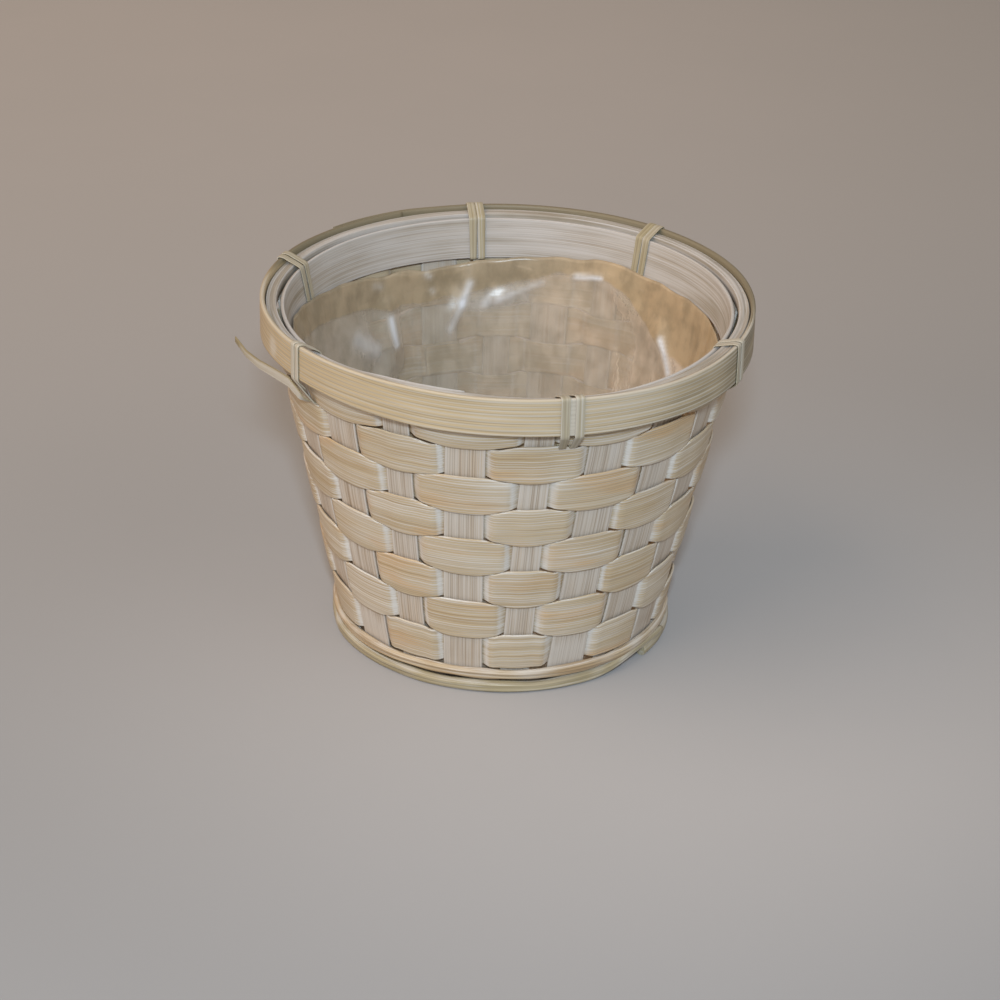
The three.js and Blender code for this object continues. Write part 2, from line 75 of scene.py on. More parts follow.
# Uprights: ten long flat splints of split bamboo cross under the base in an open plait. Both
# ends of each are bent up at the foot and carry the wall. Sizes are in millimetres, and azimuths
# in degrees from the front. The splints were washed with thin white paint, which stays in the
# grain and along the cut edges.
strips_each_way = 5
upright_thickness = 0.8
upright_width = 13.2
slim_upright_width = 9.6
first_azimuth = -12.7
upright_lean = 3.9
upright_below_rim = 6.8
foot_bend_radius = 4.0
plait_opening = 2.0
plait_corner_margin = 3.0
splint_clearance = 0.3
push_azimuth, push_angle, push_spread = 197.5, -8.7, 30.0
midway_turn, bend_start_turn = 0.4, 0.7
basket_height = 120.0
wall_radius_at_table = 53.5
wall_radius_at_rim = 78.4
wall_angle = np.arctan2(wall_radius_at_rim - wall_radius_at_table, basket_height)
upright_count = 4 * strips_each_way
outermost = (strips_each_way - 1) // 2


def round_point(azimuth, radius, height, across=0.0):
    """A point at an azimuth, a radius and a height, moved sideways along the rim."""
    angle = np.radians(azimuth)
    x = radius * np.sin(angle) + across * np.cos(angle)
    y = across * np.sin(angle) - radius * np.cos(angle)
    return np.stack(np.broadcast_arrays(x, y, height), axis=-1).astype(float)


def up_slope(height):
    """How far up the slope of the wall a height lies."""
    return height / np.cos(wall_angle)


def wall_radius(slope, out=0.0):
    """Radius of the cone of the wall: its radius at the table, plus the run up the slope times
    the sine of the lean, plus the distance off the wall times the cosine."""
    return wall_radius_at_table + slope * np.sin(wall_angle) + out * np.cos(wall_angle)


def wall_height(slope, out=0.0):
    """Height on the cone of the wall."""
    return slope * np.cos(wall_angle) - out * np.sin(wall_angle)


def wall_point(azimuth, slope, out, across=0.0):
    """A point given by how far up the wall it lies and how far off it."""
    return round_point(azimuth, wall_radius(slope, out), wall_height(slope, out), across)


def along_rim(azimuth):
    """Unit vector along the rim, towards growing azimuth."""
    return round_point(azimuth, 0.0, 0.0, 1.0)


def up_wall(azimuth):
    """Unit vector up the slope of the wall."""
    return round_point(azimuth, np.sin(wall_angle), np.cos(wall_angle))


def from_front(azimuth):
    """An azimuth as an angle from the front, to the left below zero and to the right above."""
    return (azimuth + 180.0) % 360.0 - 180.0


def bell(places, spread):
    """A bell curve of height one round nought: e to the power of minus the square of the place
    over the spread."""
    return np.exp(-((places / spread) ** 2))


def softened(values, reach, step):
    """A line of values, each replaced by the mean of its neighbours with the weights of a bell
    curve. The ends are held."""
    count = int(np.ceil(3 * reach / step))
    weights = np.exp(-0.5 * (np.arange(-count, count + 1) * step / reach) ** 2)
    weights /= weights.sum()
    held = np.pad(values, [(count, count)] + [(0, 0)] * (values.ndim - 1), mode="edge")
    return np.apply_along_axis(np.convolve, 0, held, weights, mode="valid")


def distances_along(line):
    """Distances along a line of points, from its start."""
    steps = np.linalg.norm(np.diff(line, axis=0), axis=1)
    return np.concatenate([[0.0], np.cumsum(steps)])


def drawn_line(points, columns, step, reach):
    """Evenly spaced samples along a line of points, with other columns of values carried along.
    The corners of the line and of the values are rounded by a bell curve."""
    points = np.asarray(points, float)
    places = distances_along(points)
    count = max(int(np.ceil(places[-1] / step)), 2)
    samples = np.linspace(0.0, places[-1], count + 1)
    table = np.concatenate([points, *columns], axis=1)
    drawn = np.stack([np.interp(samples, places, column) for column in table.T], axis=1)
    drawn = softened(drawn, reach, samples[1])
    return drawn[:, :3], drawn[:, 3:]


def unit(vectors):
    """Vectors at length one."""
    return vectors / np.linalg.norm(vectors, axis=-1, keepdims=True)


def random_wave(places, pace, seed):
    """A smooth random line between -1 and 1: random heights at an even pace, joined by cosines."""
    heights = np.random.default_rng(seed).uniform(-1, 1, int(places.max() / pace) + 3)
    at = places / pace
    whole = np.floor(at).astype(int)
    ease = 0.5 - 0.5 * np.cos(np.pi * (at - whole))
    return heights[whole] * (1 - ease) + heights[whole + 1] * ease


ridges_reach = 14.0
ridge_drift, ridge_drift_pace, ridge_fade_pace = 0.7, 55.0, 24.0


def fibre_ridges(across, along, pitch, seed):
    """Heights of the fibre ridges on a splint's face: two random rows of heights across it,
    one fading into the other and back along the splint, both drifting sideways."""
    knots = np.arange(-ridges_reach, ridges_reach, pitch)
    rows = np.random.default_rng(seed).uniform(-1, 1, (2, knots.size))
    place = across + ridge_drift * random_wave(along, ridge_drift_pace, seed + 1)[:, None]
    blend = 0.5 + 0.5 * random_wave(along, ridge_fade_pace, seed + 2)[:, None]
    return np.interp(place, knots, rows[0]) * (1 - blend) + np.interp(place, knots, rows[1]) * blend


def tube_faces(rings, columns):
    """The faces of a tube of rings of points, and a fan of triangles over each end. The middle
    points of the two fans come after the rings."""
    column = np.arange(columns)
    following = (column + 1) % columns
    first = np.arange(rings - 1)[:, None] * columns
    here, beside = (first + column).ravel(), (first + following).ravel()
    quads = np.stack([here, here + columns, beside + columns, beside], axis=1)
    middle = np.full(columns, rings * columns)
    last = (rings - 1) * columns
    start_fan = np.stack([middle, column, following], axis=1)
    end_fan = np.stack([middle + 1, last + following, last + column], axis=1)
    return quads, np.concatenate([start_fan, end_fan])


def new_piece(name, points, quads, fans, grain, look, material, slot, node, flat_ends=True):
    """A mesh of points in millimetres that rides on the basket and stands for a CAD node.
    Its attributes are grain, a place along, across and through the splint in metres, and look,
    which for a splint holds the amount of paint, the strength of the fibre lines and the tone."""
    mesh = bpy.data.meshes.new(name)
    mesh.from_pydata((points * 0.001).tolist(), [], quads.tolist() + fans.tolist())
    smooth = np.ones(len(quads) + len(fans), bool)
    smooth[len(quads) :] = not flat_ends
    mesh.polygons.foreach_set("use_smooth", smooth)
    for attribute, vectors in (("grain", grain * 0.001), ("look", look)):
        layer = mesh.attributes.new(attribute, "FLOAT_VECTOR", "POINT")
        layer.data.foreach_set("vector", vectors.astype(np.float32).ravel())
    mesh.materials.append(material)
    piece = placed(name, mesh)
    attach(piece, "root")
    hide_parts(node)


# The places of the points across a splint's face and back, as shares of its half width.
face_edge_shares = np.array([0.0, 0.012, 0.04])
face_flat_share, back_edge_share, back_flat_share = 0.92, 0.97, 0.85
back_columns = 9
width_waver, width_waver_pace = 0.012, 16.0
back_arch, back_ridge, back_paint, back_lines = 0.7, 0.3, 0.35, 0.3
grain_apart_along, grain_apart_across = 90.0, 31.0
cut_end_look = [0.1, 0.0, 0.5]


def splint(
    name, line, across_way, width, thickness, seed, look, material, slot, node,
    crown=0.0, ridge=0.05, ridge_pitch=0.8, corner=0.25, columns=34,
):
    """A flat splint: a section with rounded edges carried along a line. Its face bulges by the
    crown times one minus the square of the place across, and the ridges are added to the face.
    look gets the distances along, across and to the nearer edge, and gives the paint and the
    tone. The back of the splint is plainer and has little paint."""
    along = distances_along(line)
    tangent = unit(np.gradient(line, axis=0))
    across_way = unit(across_way)
    square = unit(tangent - (tangent * across_way).sum(1, keepdims=True) * across_way)
    face_way = np.cross(square, across_way)
    half = (width / 2 * (1 + width_waver * random_wave(along, width_waver_pace, seed + 8)))[:, None]

    flat_face = np.linspace(-face_flat_share, face_flat_share, columns)
    face = np.concatenate([face_edge_shares - 1, flat_face, 1 - face_edge_shares[::-1]])
    flat_back = np.linspace(back_flat_share, -back_flat_share, back_columns)
    share = np.concatenate([face, [back_edge_share], flat_back, [-back_edge_share]])[None, :]
    on_face = np.arange(share.size)[None, :] < face.size
    across = share * half
    to_edge = half - np.abs(across)
    rounding = np.sqrt(np.clip(1 - (1 - np.minimum(to_edge / corner, 1)) ** 2, 0, 1))
    fibre = ridge * fibre_ridges(across, along, ridge_pitch, seed)
    arch = crown * (1 - share**2)
    above = rounding * (thickness / 2 + fibre) + arch
    below = arch * back_arch - rounding * (thickness / 2 + back_ridge * fibre)
    height = np.where(on_face, above, below)
    points = line[:, None] + across_way[:, None] * across[..., None]
    points = points + face_way[:, None] * height[..., None]

    paint, tone = look(along[:, None], across, to_edge)
    paint = np.where(on_face, paint, back_paint * paint)
    lines = np.where(on_face, 1.0, back_lines)
    shown = np.stack(np.broadcast_arrays(paint, lines, tone), axis=-1)
    along = np.broadcast_to(along[:, None], height.shape) + grain_apart_along * seed
    grain = np.stack([along, across + grain_apart_across * seed, height], axis=-1)
    points, grain = [
        np.concatenate([grid.reshape(-1, 3), grid[[0, -1]].mean(axis=1)]) for grid in (points, grain)
    ]
    shown = np.concatenate([shown.reshape(-1, 3), [cut_end_look] * 2])
    new_piece(name, points, *tube_faces(*height.shape), grain, shown, material, slot, node)


def fill_sockets(node, sockets):
    """Sets the sockets of a shader node, or links them to what other nodes give."""
    for socket, value in sockets.items():
        if isinstance(value, bpy.types.NodeSocket):
            node.id_data.links.new(value, node.inputs[socket])
        else:
            node.inputs[socket].default_value = value


def shader_node(tree, kind, sockets, **settings):
    """A new node of a material, with its settings and its sockets."""
    node = tree.nodes.new(kind)
    for setting, value in settings.items():
        setattr(node, setting, value)
    fill_sockets(node, sockets)
    return node


def new_material(name):
    """A material, its nodes and its shader."""
    material = bpy.data.materials.new(name)
    material.use_nodes = True
    return material, material.node_tree, material.node_tree.nodes["Principled BSDF"]


def of_piece(tree, attribute):
    """One of the two attributes that every new piece has."""
    return shader_node(tree, "ShaderNodeAttribute", {}, attribute_name=attribute).outputs["Vector"]


def parts_of(vector):
    """The three parts of a vector."""
    return list(shader_node(vector.id_data, "ShaderNodeSeparateXYZ", {"Vector": vector}).outputs)


def scaled(value, factor, added=0.0):
    """A value times a factor, with something added."""
    sockets = {0: value, 1: factor, 2: added}
    node = shader_node(value.id_data, "ShaderNodeMath", sockets, operation="MULTIPLY_ADD")
    return node.outputs[0]


def between(value, low, high, start=0.0, end=1.0):
    """A value eased from start to end as it goes from low to high."""
    sockets = {"Value": value, "From Min": low, "From Max": high, "To Min": start, "To Max": end}
    kind = "ShaderNodeMapRange"
    node = shader_node(value.id_data, kind, sockets, interpolation_type="SMOOTHSTEP")
    return node.outputs["Result"]


def mixed(share, first, second, blend="MIX"):
    """Two colours mixed."""
    pair = [colour if hasattr(colour, "node") else (*colour, 1.0) for colour in (first, second)]
    sockets = {0: share, 6: pair[0], 7: pair[1]}
    kind = "ShaderNodeMix"
    node = shader_node(share.id_data, kind, sockets, data_type="RGBA", blend_type=blend)
    return node.outputs[2]


def noise(place, scale, detail, roughness):
    """Soft random tones, with so many patches to a metre and finer ones among them."""
    sockets = {"Vector": place, "Scale": scale, "Detail": detail, "Roughness": roughness}
    return shader_node(place.id_data, "ShaderNodeTexNoise", sockets).outputs["Fac"]


def grain_noise(grain, along, across, detail=2.0, roughness=0.55):
    """Random streaks, given as how many there are in a metre along and across the splint."""
    sockets = {0: grain, 1: (along, across, across)}
    node = shader_node(grain.id_data, "ShaderNodeVectorMath", sockets, operation="MULTIPLY")
    return noise(node.outputs[0], 1.0, detail, roughness)


warm_spot = (0.52, 0.345, 0.18)
line_tint = (0.62, 0.56, 0.5)


def bamboo(
    name, dark, middle, pale, paint, paint_level,
    line_depth=0.35, gloss=0.55, fibre_pitch=0.00105, evenness=1.0, mottling=1.0, warmed=0.0,
):
    """Split bamboo under a thin white wash: bands of tone along the grain, fine fibre lines at a
    nearly even pitch, warmer spots where the wash is thin, and paint that lies in the lines and
    where look says that it gathered."""
    material, tree, shader = new_material(name)
    grain = of_piece(tree, "grain")
    gathered, shown_lines, tone = parts_of(of_piece(tree, "look"))
    fine = grain_noise(grain, 9.0, 1.9 / fibre_pitch)
    bands = grain_noise(grain, 8.0, 420.0)
    patches = grain_noise(grain, 38.0, 120.0)
    streaks = grain_noise(grain, 17.0, 950.0, 3.0, 0.6)
    drift = scaled(grain_noise(grain, 14.0, 90.0), 9.0)
    turn = scaled(parts_of(grain)[1], 2 * np.pi / fibre_pitch, drift)
    comb = shader_node(tree, "ShaderNodeMath", {0: turn}, operation="SINE").outputs[0]

    warmth = scaled(bands, 0.9, scaled(patches, 0.7, -0.8))
    warmth = scaled(warmth, mottling, scaled(tone, 0.5, 0.25))
    body = mixed(between(warmth, 0.1, 0.5), dark, middle)
    body = mixed(between(warmth, 0.45, 0.9), body, pale)
    warm_spots = between(grain_noise(grain, 27.0, 75.0), 0.5, 0.68, 0.0, warmed)
    body = mixed(warm_spots, body, warm_spot)
    lines = between(scaled(comb, 0.07 * evenness, fine), 0.36, 0.56, line_depth, 0.0)
    lines = scaled(lines, shown_lines)
    body = mixed(lines, body, np.multiply(dark, line_tint))

    brushed = scaled(streaks, 1.3 * mottling, paint_level - mottling)
    brushed = scaled(patches, 0.7 * mottling, brushed)
    furrow = between(scaled(comb, -0.16 * evenness, fine), 0.56, 0.74)
    brushed = scaled(scaled(furrow, shown_lines), 0.55, brushed)
    covered = between(scaled(brushed, 1.0, gathered), 0.0, 1.0, 0.0, 0.93)
    covered = scaled(covered, scaled(lines, -0.4, 1.0))
    covered = scaled(covered, scaled(warm_spots, -0.5, 1.0))
    relief = scaled(fine, 0.6, scaled(streaks, 0.4))
    sockets = {"Strength": 0.5, "Distance": 0.00025, "Height": relief}
    bump = shader_node(tree, "ShaderNodeBump", sockets).outputs["Normal"]
    sockets = {
        "Base Color": mixed(covered, body, paint), "Normal": bump, "Specular IOR Level": 0.35,
        "Roughness": between(covered, 0.0, 1.0, gloss, 0.8),
    }
    fill_sockets(shader, sockets)
    return material


def upright_azimuth(number, slope):
    """Azimuth of an upright, which leans round the wall, and at the back was pushed aside."""
    at_table = first_azimuth + number * 360.0 / upright_count
    pushed = push_angle * bell(from_front(at_table - push_azimuth), push_spread)
    return at_table + (upright_lean + pushed) * slope / up_slope(basket_height)


def width_of_upright(number):
    """The splints beside the front one are slimmer, at both of their ends."""
    beside_front = {1, upright_count - 1, upright_count // 2 - 1, upright_count // 2 + 1}
    return slim_upright_width if number % upright_count in beside_front else upright_width


cad_upright_thickness = 0.7
room_under_base = 0.18
low_level = cad_upright_thickness / 2 + room_under_base
high_level = low_level + cad_upright_thickness + splint_clearance
bend_angle = np.pi / 2 - wall_angle
bend_reach = foot_bend_radius * np.tan(bend_angle / 2)
foot_radius = wall_radius(up_slope(low_level)) - bend_reach
plait_half = (foot_radius - plait_corner_margin) / np.sqrt(2)
plait_width = (plait_half - outermost * plait_opening) / (outermost + 0.5)
plait_pitch = plait_width + plait_opening
weaver_shares = np.array([12.9, 13.4, 12.7, 12.2, 12.2, 12.0, 12.4, 11.6])
weaver_gap, gap_under_top_weaver = 0.5, 1.0
first_weaver_height = 9.6
weaver_rises = np.cumsum(weaver_shares + weaver_gap)
weaver_middles = first_weaver_height + np.concatenate([[0], weaver_rises[:-1]]) + weaver_shares / 2
weaver_middles[-1] += gap_under_top_weaver - weaver_gap
sway_behind, sway_in_front, sway_reach = -0.16, 0.18, 4.2
crossings = np.arange(outermost + 1)
bend_samples, wall_samples = 9, 90


def sway(number, slopes):
    """How an upright gives way to the weavers: a bell curve inwards behind each weaver that
    passes outside it, and outwards in front of each that passes inside."""
    outside = (np.arange(weaver_middles.size) + number) % 2 == 1
    push = np.where(outside, sway_behind, sway_in_front)
    return (bell(slopes[:, None] - weaver_middles, sway_reach) * push).sum(axis=1)


def upright_end(group, place, way):
    """Points, width directions and widths of a splint's end, from the middle of the base out
    through the plait, round the bend of the foot and up the wall. The way is 1 for the near end
    and -1 for the far one."""
    number = group * strips_each_way + place
    if way < 0:
        number += upright_count // 2 - 2 * place
    group_azimuth = first_azimuth + 90.0 * group + 90.0 * (1 - way)
    levels = np.where((place + way * crossings + group) % 2 == 0, high_level, low_level)
    width = width_of_upright(number)
    trimmed = min(width, plait_width)
    flat = plait_width / 2 + splint_clearance / 3
    side = along_rim(group_azimuth)
    reach = (crossings[:, None] * plait_pitch + np.array([-flat, flat])).ravel()[1:]
    plait = round_point(group_azimuth, reach, np.repeat(levels, 2)[1:], way * place * plait_pitch)
    level = levels[-1]
    foot_azimuth = upright_azimuth(number, 0.0)
    foot_way = along_rim(foot_azimuth)
    bend_start = wall_radius(up_slope(level)) - bend_reach
    midway = (plait[-1] + round_point(foot_azimuth, bend_start, level)) / 2
    turn = np.linspace(0.0, bend_angle, bend_samples)
    bend_out, bend_up = foot_bend_radius * np.sin(turn), foot_bend_radius * (1 - np.cos(turn))
    bend = round_point(foot_azimuth, bend_start + bend_out, level + bend_up)
    wall_ends = up_slope(bend[-1, 2]), up_slope(basket_height - upright_below_rim)
    slopes = np.linspace(*wall_ends, wall_samples)[1:]
    azimuths = upright_azimuth(number, slopes)
    wall = wall_point(azimuths, slopes, sway(number, slopes))
    to_midway = np.append(np.zeros(len(plait)), midway_turn)[:, None]
    turned = np.linspace(bend_start_turn, 1.0, turn.size)[:, None]
    turned = side + (foot_way - side) * np.concatenate([to_midway, turned])
    widened = trimmed + (width - trimmed) * to_midway
    widths = np.concatenate([widened, np.full((turn.size + slopes.size, 1), width)])
    points = np.concatenate([plait, [midway], bend, wall])
    return points, way * np.concatenate([turned, along_rim(azimuths)]), widths


painted_bend_at, painted_bend_reach = 54.0, 5.0


def upright_look(along, across, to_edge):
    """Paint lies along the cut edges, round the bends of the foot, and in a veil over the rest."""
    middle = along[-1, 0] / 2
    veil = 0.14 + 0.12 * np.sin(along / middle * 4.5)
    at_bend = bell(np.abs(along - middle) - painted_bend_at, painted_bend_reach)
    paint = veil + 0.85 * bell(to_edge, 0.5) + 0.8 * at_bend
    return paint, 0.55 + 0.25 * np.sin(along / 31.0)


upright_bamboo = bamboo(
    "washed_upright_bamboo", dark=(0.33, 0.25, 0.175), middle=(0.43, 0.345, 0.255),
    pale=(0.47, 0.395, 0.305), paint=(0.53, 0.48, 0.425), paint_level=0.28, line_depth=0.7,
    fibre_pitch=0.00082, mottling=0.85, warmed=0.3,
)

for group, letter in enumerate("ab"):
    for strip in range(strips_each_way):
        ends = [upright_end(group, strip - outermost, way) for way in (1, -1)]
        points, *columns = [np.concatenate([near[::-1], far]) for near, far in zip(*ends)]
        line, carried = drawn_line(points, columns, 1.3, 0.9)
        splint(
            f"upright_splint_{letter}{strip + 1}", line, carried[:, :3], carried[:, 3],
            upright_thickness, 11 + 5 * strip + 40 * group, upright_look,
            upright_bamboo, "upright_bamboo", f"stake_strip_{letter}{strip + 1}",
            crown=0.08, ridge_pitch=0.62,
        )

# Weavers: eight flat splints, each run once round the wall, outside one upright and inside the
# next. They bulge like pillows where they pass outside. The wash is worn from the crowns and
# stays white where each splint dives behind an upright.
weaver_thickness, weaver_swell, room_between_weavers = 0.8, 1.1, 0.12
weaver_stand = cad_upright_thickness / 2 + splint_clearance + weaver_thickness / 2
weaver_bulge, weaver_tuck, weaver_crown_share = 0.5, 0.2, 0.4
upright_edge_room, dive_length, held_out = 0.5, 2.2, 0.8
swell_at_dive, hidden_swell = -0.75, -0.35
lap_step, lap_room = weaver_thickness + splint_clearance, 0.8
line_step, line_softness, swell_softness, kept_every = 0.25, 0.8, 1.8, 4
last_row = weaver_middles.size - 1


def weaver_line(row):
    """The line of a weaver: its distance off the wall is joined by straight runs between the
    crowns over the uprights and the dives at the edges of the next ones, then rounded. The swell
    goes from one over a crown to below nought at the dives."""
    middle = weaver_middles[row]
    top_row = row == last_row
    back = upright_count // 2 + 1 + row % 4
    lap = back if ((row + back) % 2 == 1) == top_row else back + 1
    azimuths, offs, swells = [], [], []

    def add(number, across, out, swell):
        radius = wall_radius(middle, out)
        azimuths.append(upright_azimuth(number, middle) + np.degrees(np.arctan2(across, radius)))
        offs.append(out + np.hypot(radius, across) - radius)
        swells.append(swell)

    for number in range(lap, lap + upright_count):
        edge = width_of_upright(number) / 2 + upright_edge_room
        outside = (row + number) % 2 == 1
        stand = weaver_stand if outside else -weaver_stand
        side = 1 if outside else -1
        if not outside and number > lap:
            add(number, -edge - dive_length, held_out, swell_at_dive)
        add(number, -edge, stand, side if outside else hidden_swell)
        if number > lap:
            for share in (-weaver_crown_share, weaver_crown_share) if outside else (0.0,):
                add(number, share * edge, stand + (weaver_bulge if outside else -weaver_tuck), side)
        add(number, edge, stand, side if outside else hidden_swell)
        if not outside:
            add(number, edge + dive_length, held_out, swell_at_dive)
    lap_edge = width_of_upright(lap) / 2
    lap_side = 1 if top_row else -1
    lap_out = lap_side * (weaver_stand + lap_step)
    add(lap + upright_count, -lap_edge - upright_edge_room - lap_room, lap_out, lap_side)
    add(lap + upright_count, lap_edge, lap_out, lap_side)

    count = int(np.radians(azimuths[-1] - azimuths[0]) * wall_radius(middle) / line_step)
    azimuth = np.linspace(azimuths[0], azimuths[-1], count)
    out = softened(np.interp(azimuth, azimuths, offs), line_softness, line_step)
    swell = softened(np.interp(azimuth, azimuths, swells), swell_softness, line_step)
    return azimuth[::kept_every], out[::kept_every], swell[::kept_every], middle


painted_dive_out, painted_dive_reach = 0.3, 0.42
swell_wave_radius, swell_waver = 70.0, 0.2


def weaver_look(row, out, width):
    """Paint is left where the splint dives, along its upper edge, and in patches. The tone
    wanders slowly along the splint."""
    first, second, third = np.random.default_rng(700 + row).uniform(0, 6.28, 3)
    dive = bell(out - painted_dive_out, painted_dive_reach)[:, None]

    def look(along, across, to_edge):
        upper = 0.25 * bell(width / 2 - across, 0.6)
        lower = 0.1 * bell(width / 2 + across, 0.3)
        patch = 0.14 * np.sin(along / 13.0 + first) * np.sin(along / 47.0 + second)
        tone = 0.5 + 0.3 * np.sin(along / 21.0 + third) - 0.02 * across
        return dive + upper + lower + patch, tone

    return look


weaver_bamboo = bamboo(
    "washed_weaver_bamboo", dark=(0.42, 0.31, 0.18), middle=(0.475, 0.375, 0.24),
    pale=(0.50, 0.415, 0.295), paint=(0.60, 0.57, 0.53), paint_level=0.13, line_depth=0.5,
    fibre_pitch=0.00098, evenness=1.7, mottling=0.85, warmed=0.75,
)

for row in range(weaver_middles.size):
    azimuth, out, swell, middle = weaver_line(row)
    round_wall = np.radians(azimuth) * swell_wave_radius
    swell = weaver_swell * swell * (1 + swell_waver * random_wave(round_wall, 24.0, 60 + row))
    swell_up, swell_down = swell * (row < last_row), swell * (row > 0)
    width = weaver_shares[row] + weaver_gap - room_between_weavers + swell_up + swell_down
    line = wall_point(azimuth, middle + (swell_up - swell_down) / 2, out)
    splint(
        f"weaver_splint_{row + 1}", line, up_wall(azimuth), width, weaver_thickness,
        200 + 17 * row, weaver_look(row, out, width[:, None]),
        weaver_bamboo, "weaver_bamboo", f"weaver_{row + 1}", crown=0.18, ridge_pitch=0.95,
    )

# Rim: a stout hoop of split bamboo outside the uprights and a thinner one inside. The ends of
# each are shaved thin and lapped. A stout strip over the cut ends of the uprights packs the rim
# between the hoops. The outer hoop is bare tan on the left and more washed on the right, with
# painted light on its left and painted shade on its right, and the inner hoop and the packing are
# white.
outer_hoop_thickness, outer_hoop_depth, outer_hoop_start = 1.6, 15.0, 208.0
inner_hoop_thickness, inner_hoop_depth, inner_hoop_start = 1.2, 14.3, 330.0
inner_hoop_drop = 3.3
packing_thickness, packing_depth, packing_drop, packing_start = 3.7, 4.6, 1.6, 189.5
packing_joint = 1.0
hoop_tip, hoop_lap, hoop_lift = 0.4, 20.0, 10.0
round_step = 1.0


def edge_rise(radius, width):
    """How far the edges of a flat strip stand further out than its middle on a round wall."""
    return np.hypot(radius, width / 2) - radius


def smooth_step(values, low, high):
    """Nought below low and one above high, with an eased rise between."""
    share = np.clip((values - low) / (high - low), 0, 1)
    return share**2 * (3 - 2 * share)


def lapped_ring(start, thickness):
    """Azimuths round a hoop, how far its middle surface lies off what it is bent on, and its
    thickness there. Both ends are thinned, and the later one rises over the earlier one."""
    angle = np.arange(0.0, 360.0 + hoop_lap + round_step / 2, round_step)
    thickening = np.clip(angle / hoop_lap, 0, 1)
    thinning = np.clip((angle - 360) / hoop_lap, 0, 1)
    under = hoop_tip + (thickness - hoop_tip) * thinning
    near = smooth_step(angle, 360 - hoop_lift, 360) * (under + splint_clearance)
    deep = hoop_tip + (thickness - hoop_tip) * np.minimum(thickening, 1 - thinning)
    return start + angle, near + deep / 2, deep


packing_top = basket_height - packing_drop
outer_hoop_radius = 80.83
packing_radius = outer_hoop_radius - splint_clearance - packing_thickness
outer_hoop_bottom = basket_height - outer_hoop_depth
front_tie_azimuth = 14.8
# The rim is not quite level. In millimetres, by azimuth from the front: how far the outer hoop's
# upper edge dips and its lower edge rises, and how far the parts inside it dip.
rim_azimuths = [
    -180, -130, -85, -62, -50, -38, -28, -18, -8, 3, 12, 20, 33, 45, 60, 80, 100, 130, 180,
]
upper_edge_dips = [
    0, 0, 0, 0, 0, 0, 0.1, 0.6, 1.1, 1.4, 1.7, 1.9, 2.5, 3.0, 2.5, 1.2, 0.3, 0, 0,
]
lower_edge_rises = [
    1.3, 1.4, 1.8, 3.5, 3.3, 2.8, 2.0, 1.5, 1.1, 0.9, 0.5, 0.1, 0, -0.5, -0.5, 0, 0.5, 1.2, 1.3,
]
inner_dips = [
    0, 0, 0.6, 1.5, 1.5, 0.4, 0, 0, 0.5, 1.5, 2.0, 2.2, 2.7, 1.9, 1.6, 1.0, 0.4, 0, 0,
]


def along_hoop(azimuth, values):
    """One of the rows of values above at an azimuth, the mean of five places round it."""
    shifts = (-8.0, -4.0, 0.0, 4.0, 8.0)
    found = [np.interp(from_front(azimuth + shift), rim_azimuths, values) for shift in shifts]
    return sum(found) / len(shifts)


def outer_hoop_look(azimuth):
    """Paint lies round the front tie, on the right front and in a daub at the left. The tone is
    painted lighter on the left and darker on the right: painted light and shade from the warm lamp
    on the left. Towards the back the upper edge is olive and darker: bare skin, with painted shade."""
    turn = from_front(azimuth)[:, None]
    right = 0.2 * bell(turn - 28.0, 18.0) - 0.12 * bell(turn + 45.0, 30.0)
    # dull paints shade on the right of the hoop, away from the warm lamp.
    dull = 0.5 * bell(turn - 55.0, 30.0)
    by_tie = 1.2 * bell(turn - front_tie_azimuth - 0.3, 1.2)
    daub = 1.3 * bell(turn + 67.0, 1.8)
    # Towards the back the upper edge is darker and olive: partly bare skin, partly painted shade.
    olive_and_shade_at_back = smooth_step(np.abs(turn + 10.0), 75.0, 115.0)

    def look(along, across, to_edge):
        top_edge = bell(to_edge, 0.55 + 2.2 * olive_and_shade_at_back) * (across > 0)
        spot = daub * bell(across + 1.5, 3.0)
        # The cosine paints the tone lighter on the left and darker on the right: painted light and
        # shade.
        tone = 0.55 + 0.4 * np.cos(np.radians(turn + 50.0)) + 0.1 * np.sin(along / 33.0)
        paint = right + by_tie + spot + (0.5 - 1.6 * olive_and_shade_at_back) * top_edge
        return paint, tone - dull - 2.2 * top_edge * olive_and_shade_at_back

    return look


def plain_look(paint, tone, edge_paint=0.4):
    """An even amount of paint, with more along the edges."""

    def look(along, across, to_edge):
        waver = 0.1 * np.sin(along / 27.0)
        return paint + waver + edge_paint * bell(to_edge, 0.5), tone + 0.15 * np.sin(along / 19.0)

    return look


hoop_bamboo = bamboo(
    "outer_hoop_bamboo", dark=(0.20, 0.165, 0.105), middle=(0.43, 0.33, 0.195),
    pale=(0.49, 0.38, 0.235), paint=(0.50, 0.45, 0.375), paint_level=0.12, line_depth=0.4,
    gloss=0.5, fibre_pitch=0.00135, evenness=2.2, mottling=0.6,
)
white_bamboo = bamboo(
    "white_rim_bamboo", dark=(0.28, 0.24, 0.18), middle=(0.375, 0.325, 0.27),
    pale=(0.42, 0.375, 0.325), paint=(0.48, 0.45, 0.425), paint_level=0.46,
)

azimuth, off, deep = lapped_ring(outer_hoop_start, outer_hoop_thickness)
hoop_upper_edge = basket_height - along_hoop(azimuth, upper_edge_dips)
hoop_lower_edge = outer_hoop_bottom + along_hoop(azimuth, lower_edge_rises)
hoop_middle = round_point(azimuth, outer_hoop_radius + off, (hoop_upper_edge + hoop_lower_edge) / 2)
splint(
    "outer_rim_hoop", hoop_middle, round_point(azimuth, 0.0, 1.0),
    hoop_upper_edge - hoop_lower_edge, deep[:, None],
    401, outer_hoop_look(azimuth), hoop_bamboo, "hoop_bamboo", "rim_hoop_outer",
    ridge_pitch=1.05, corner=0.4, columns=40,
)

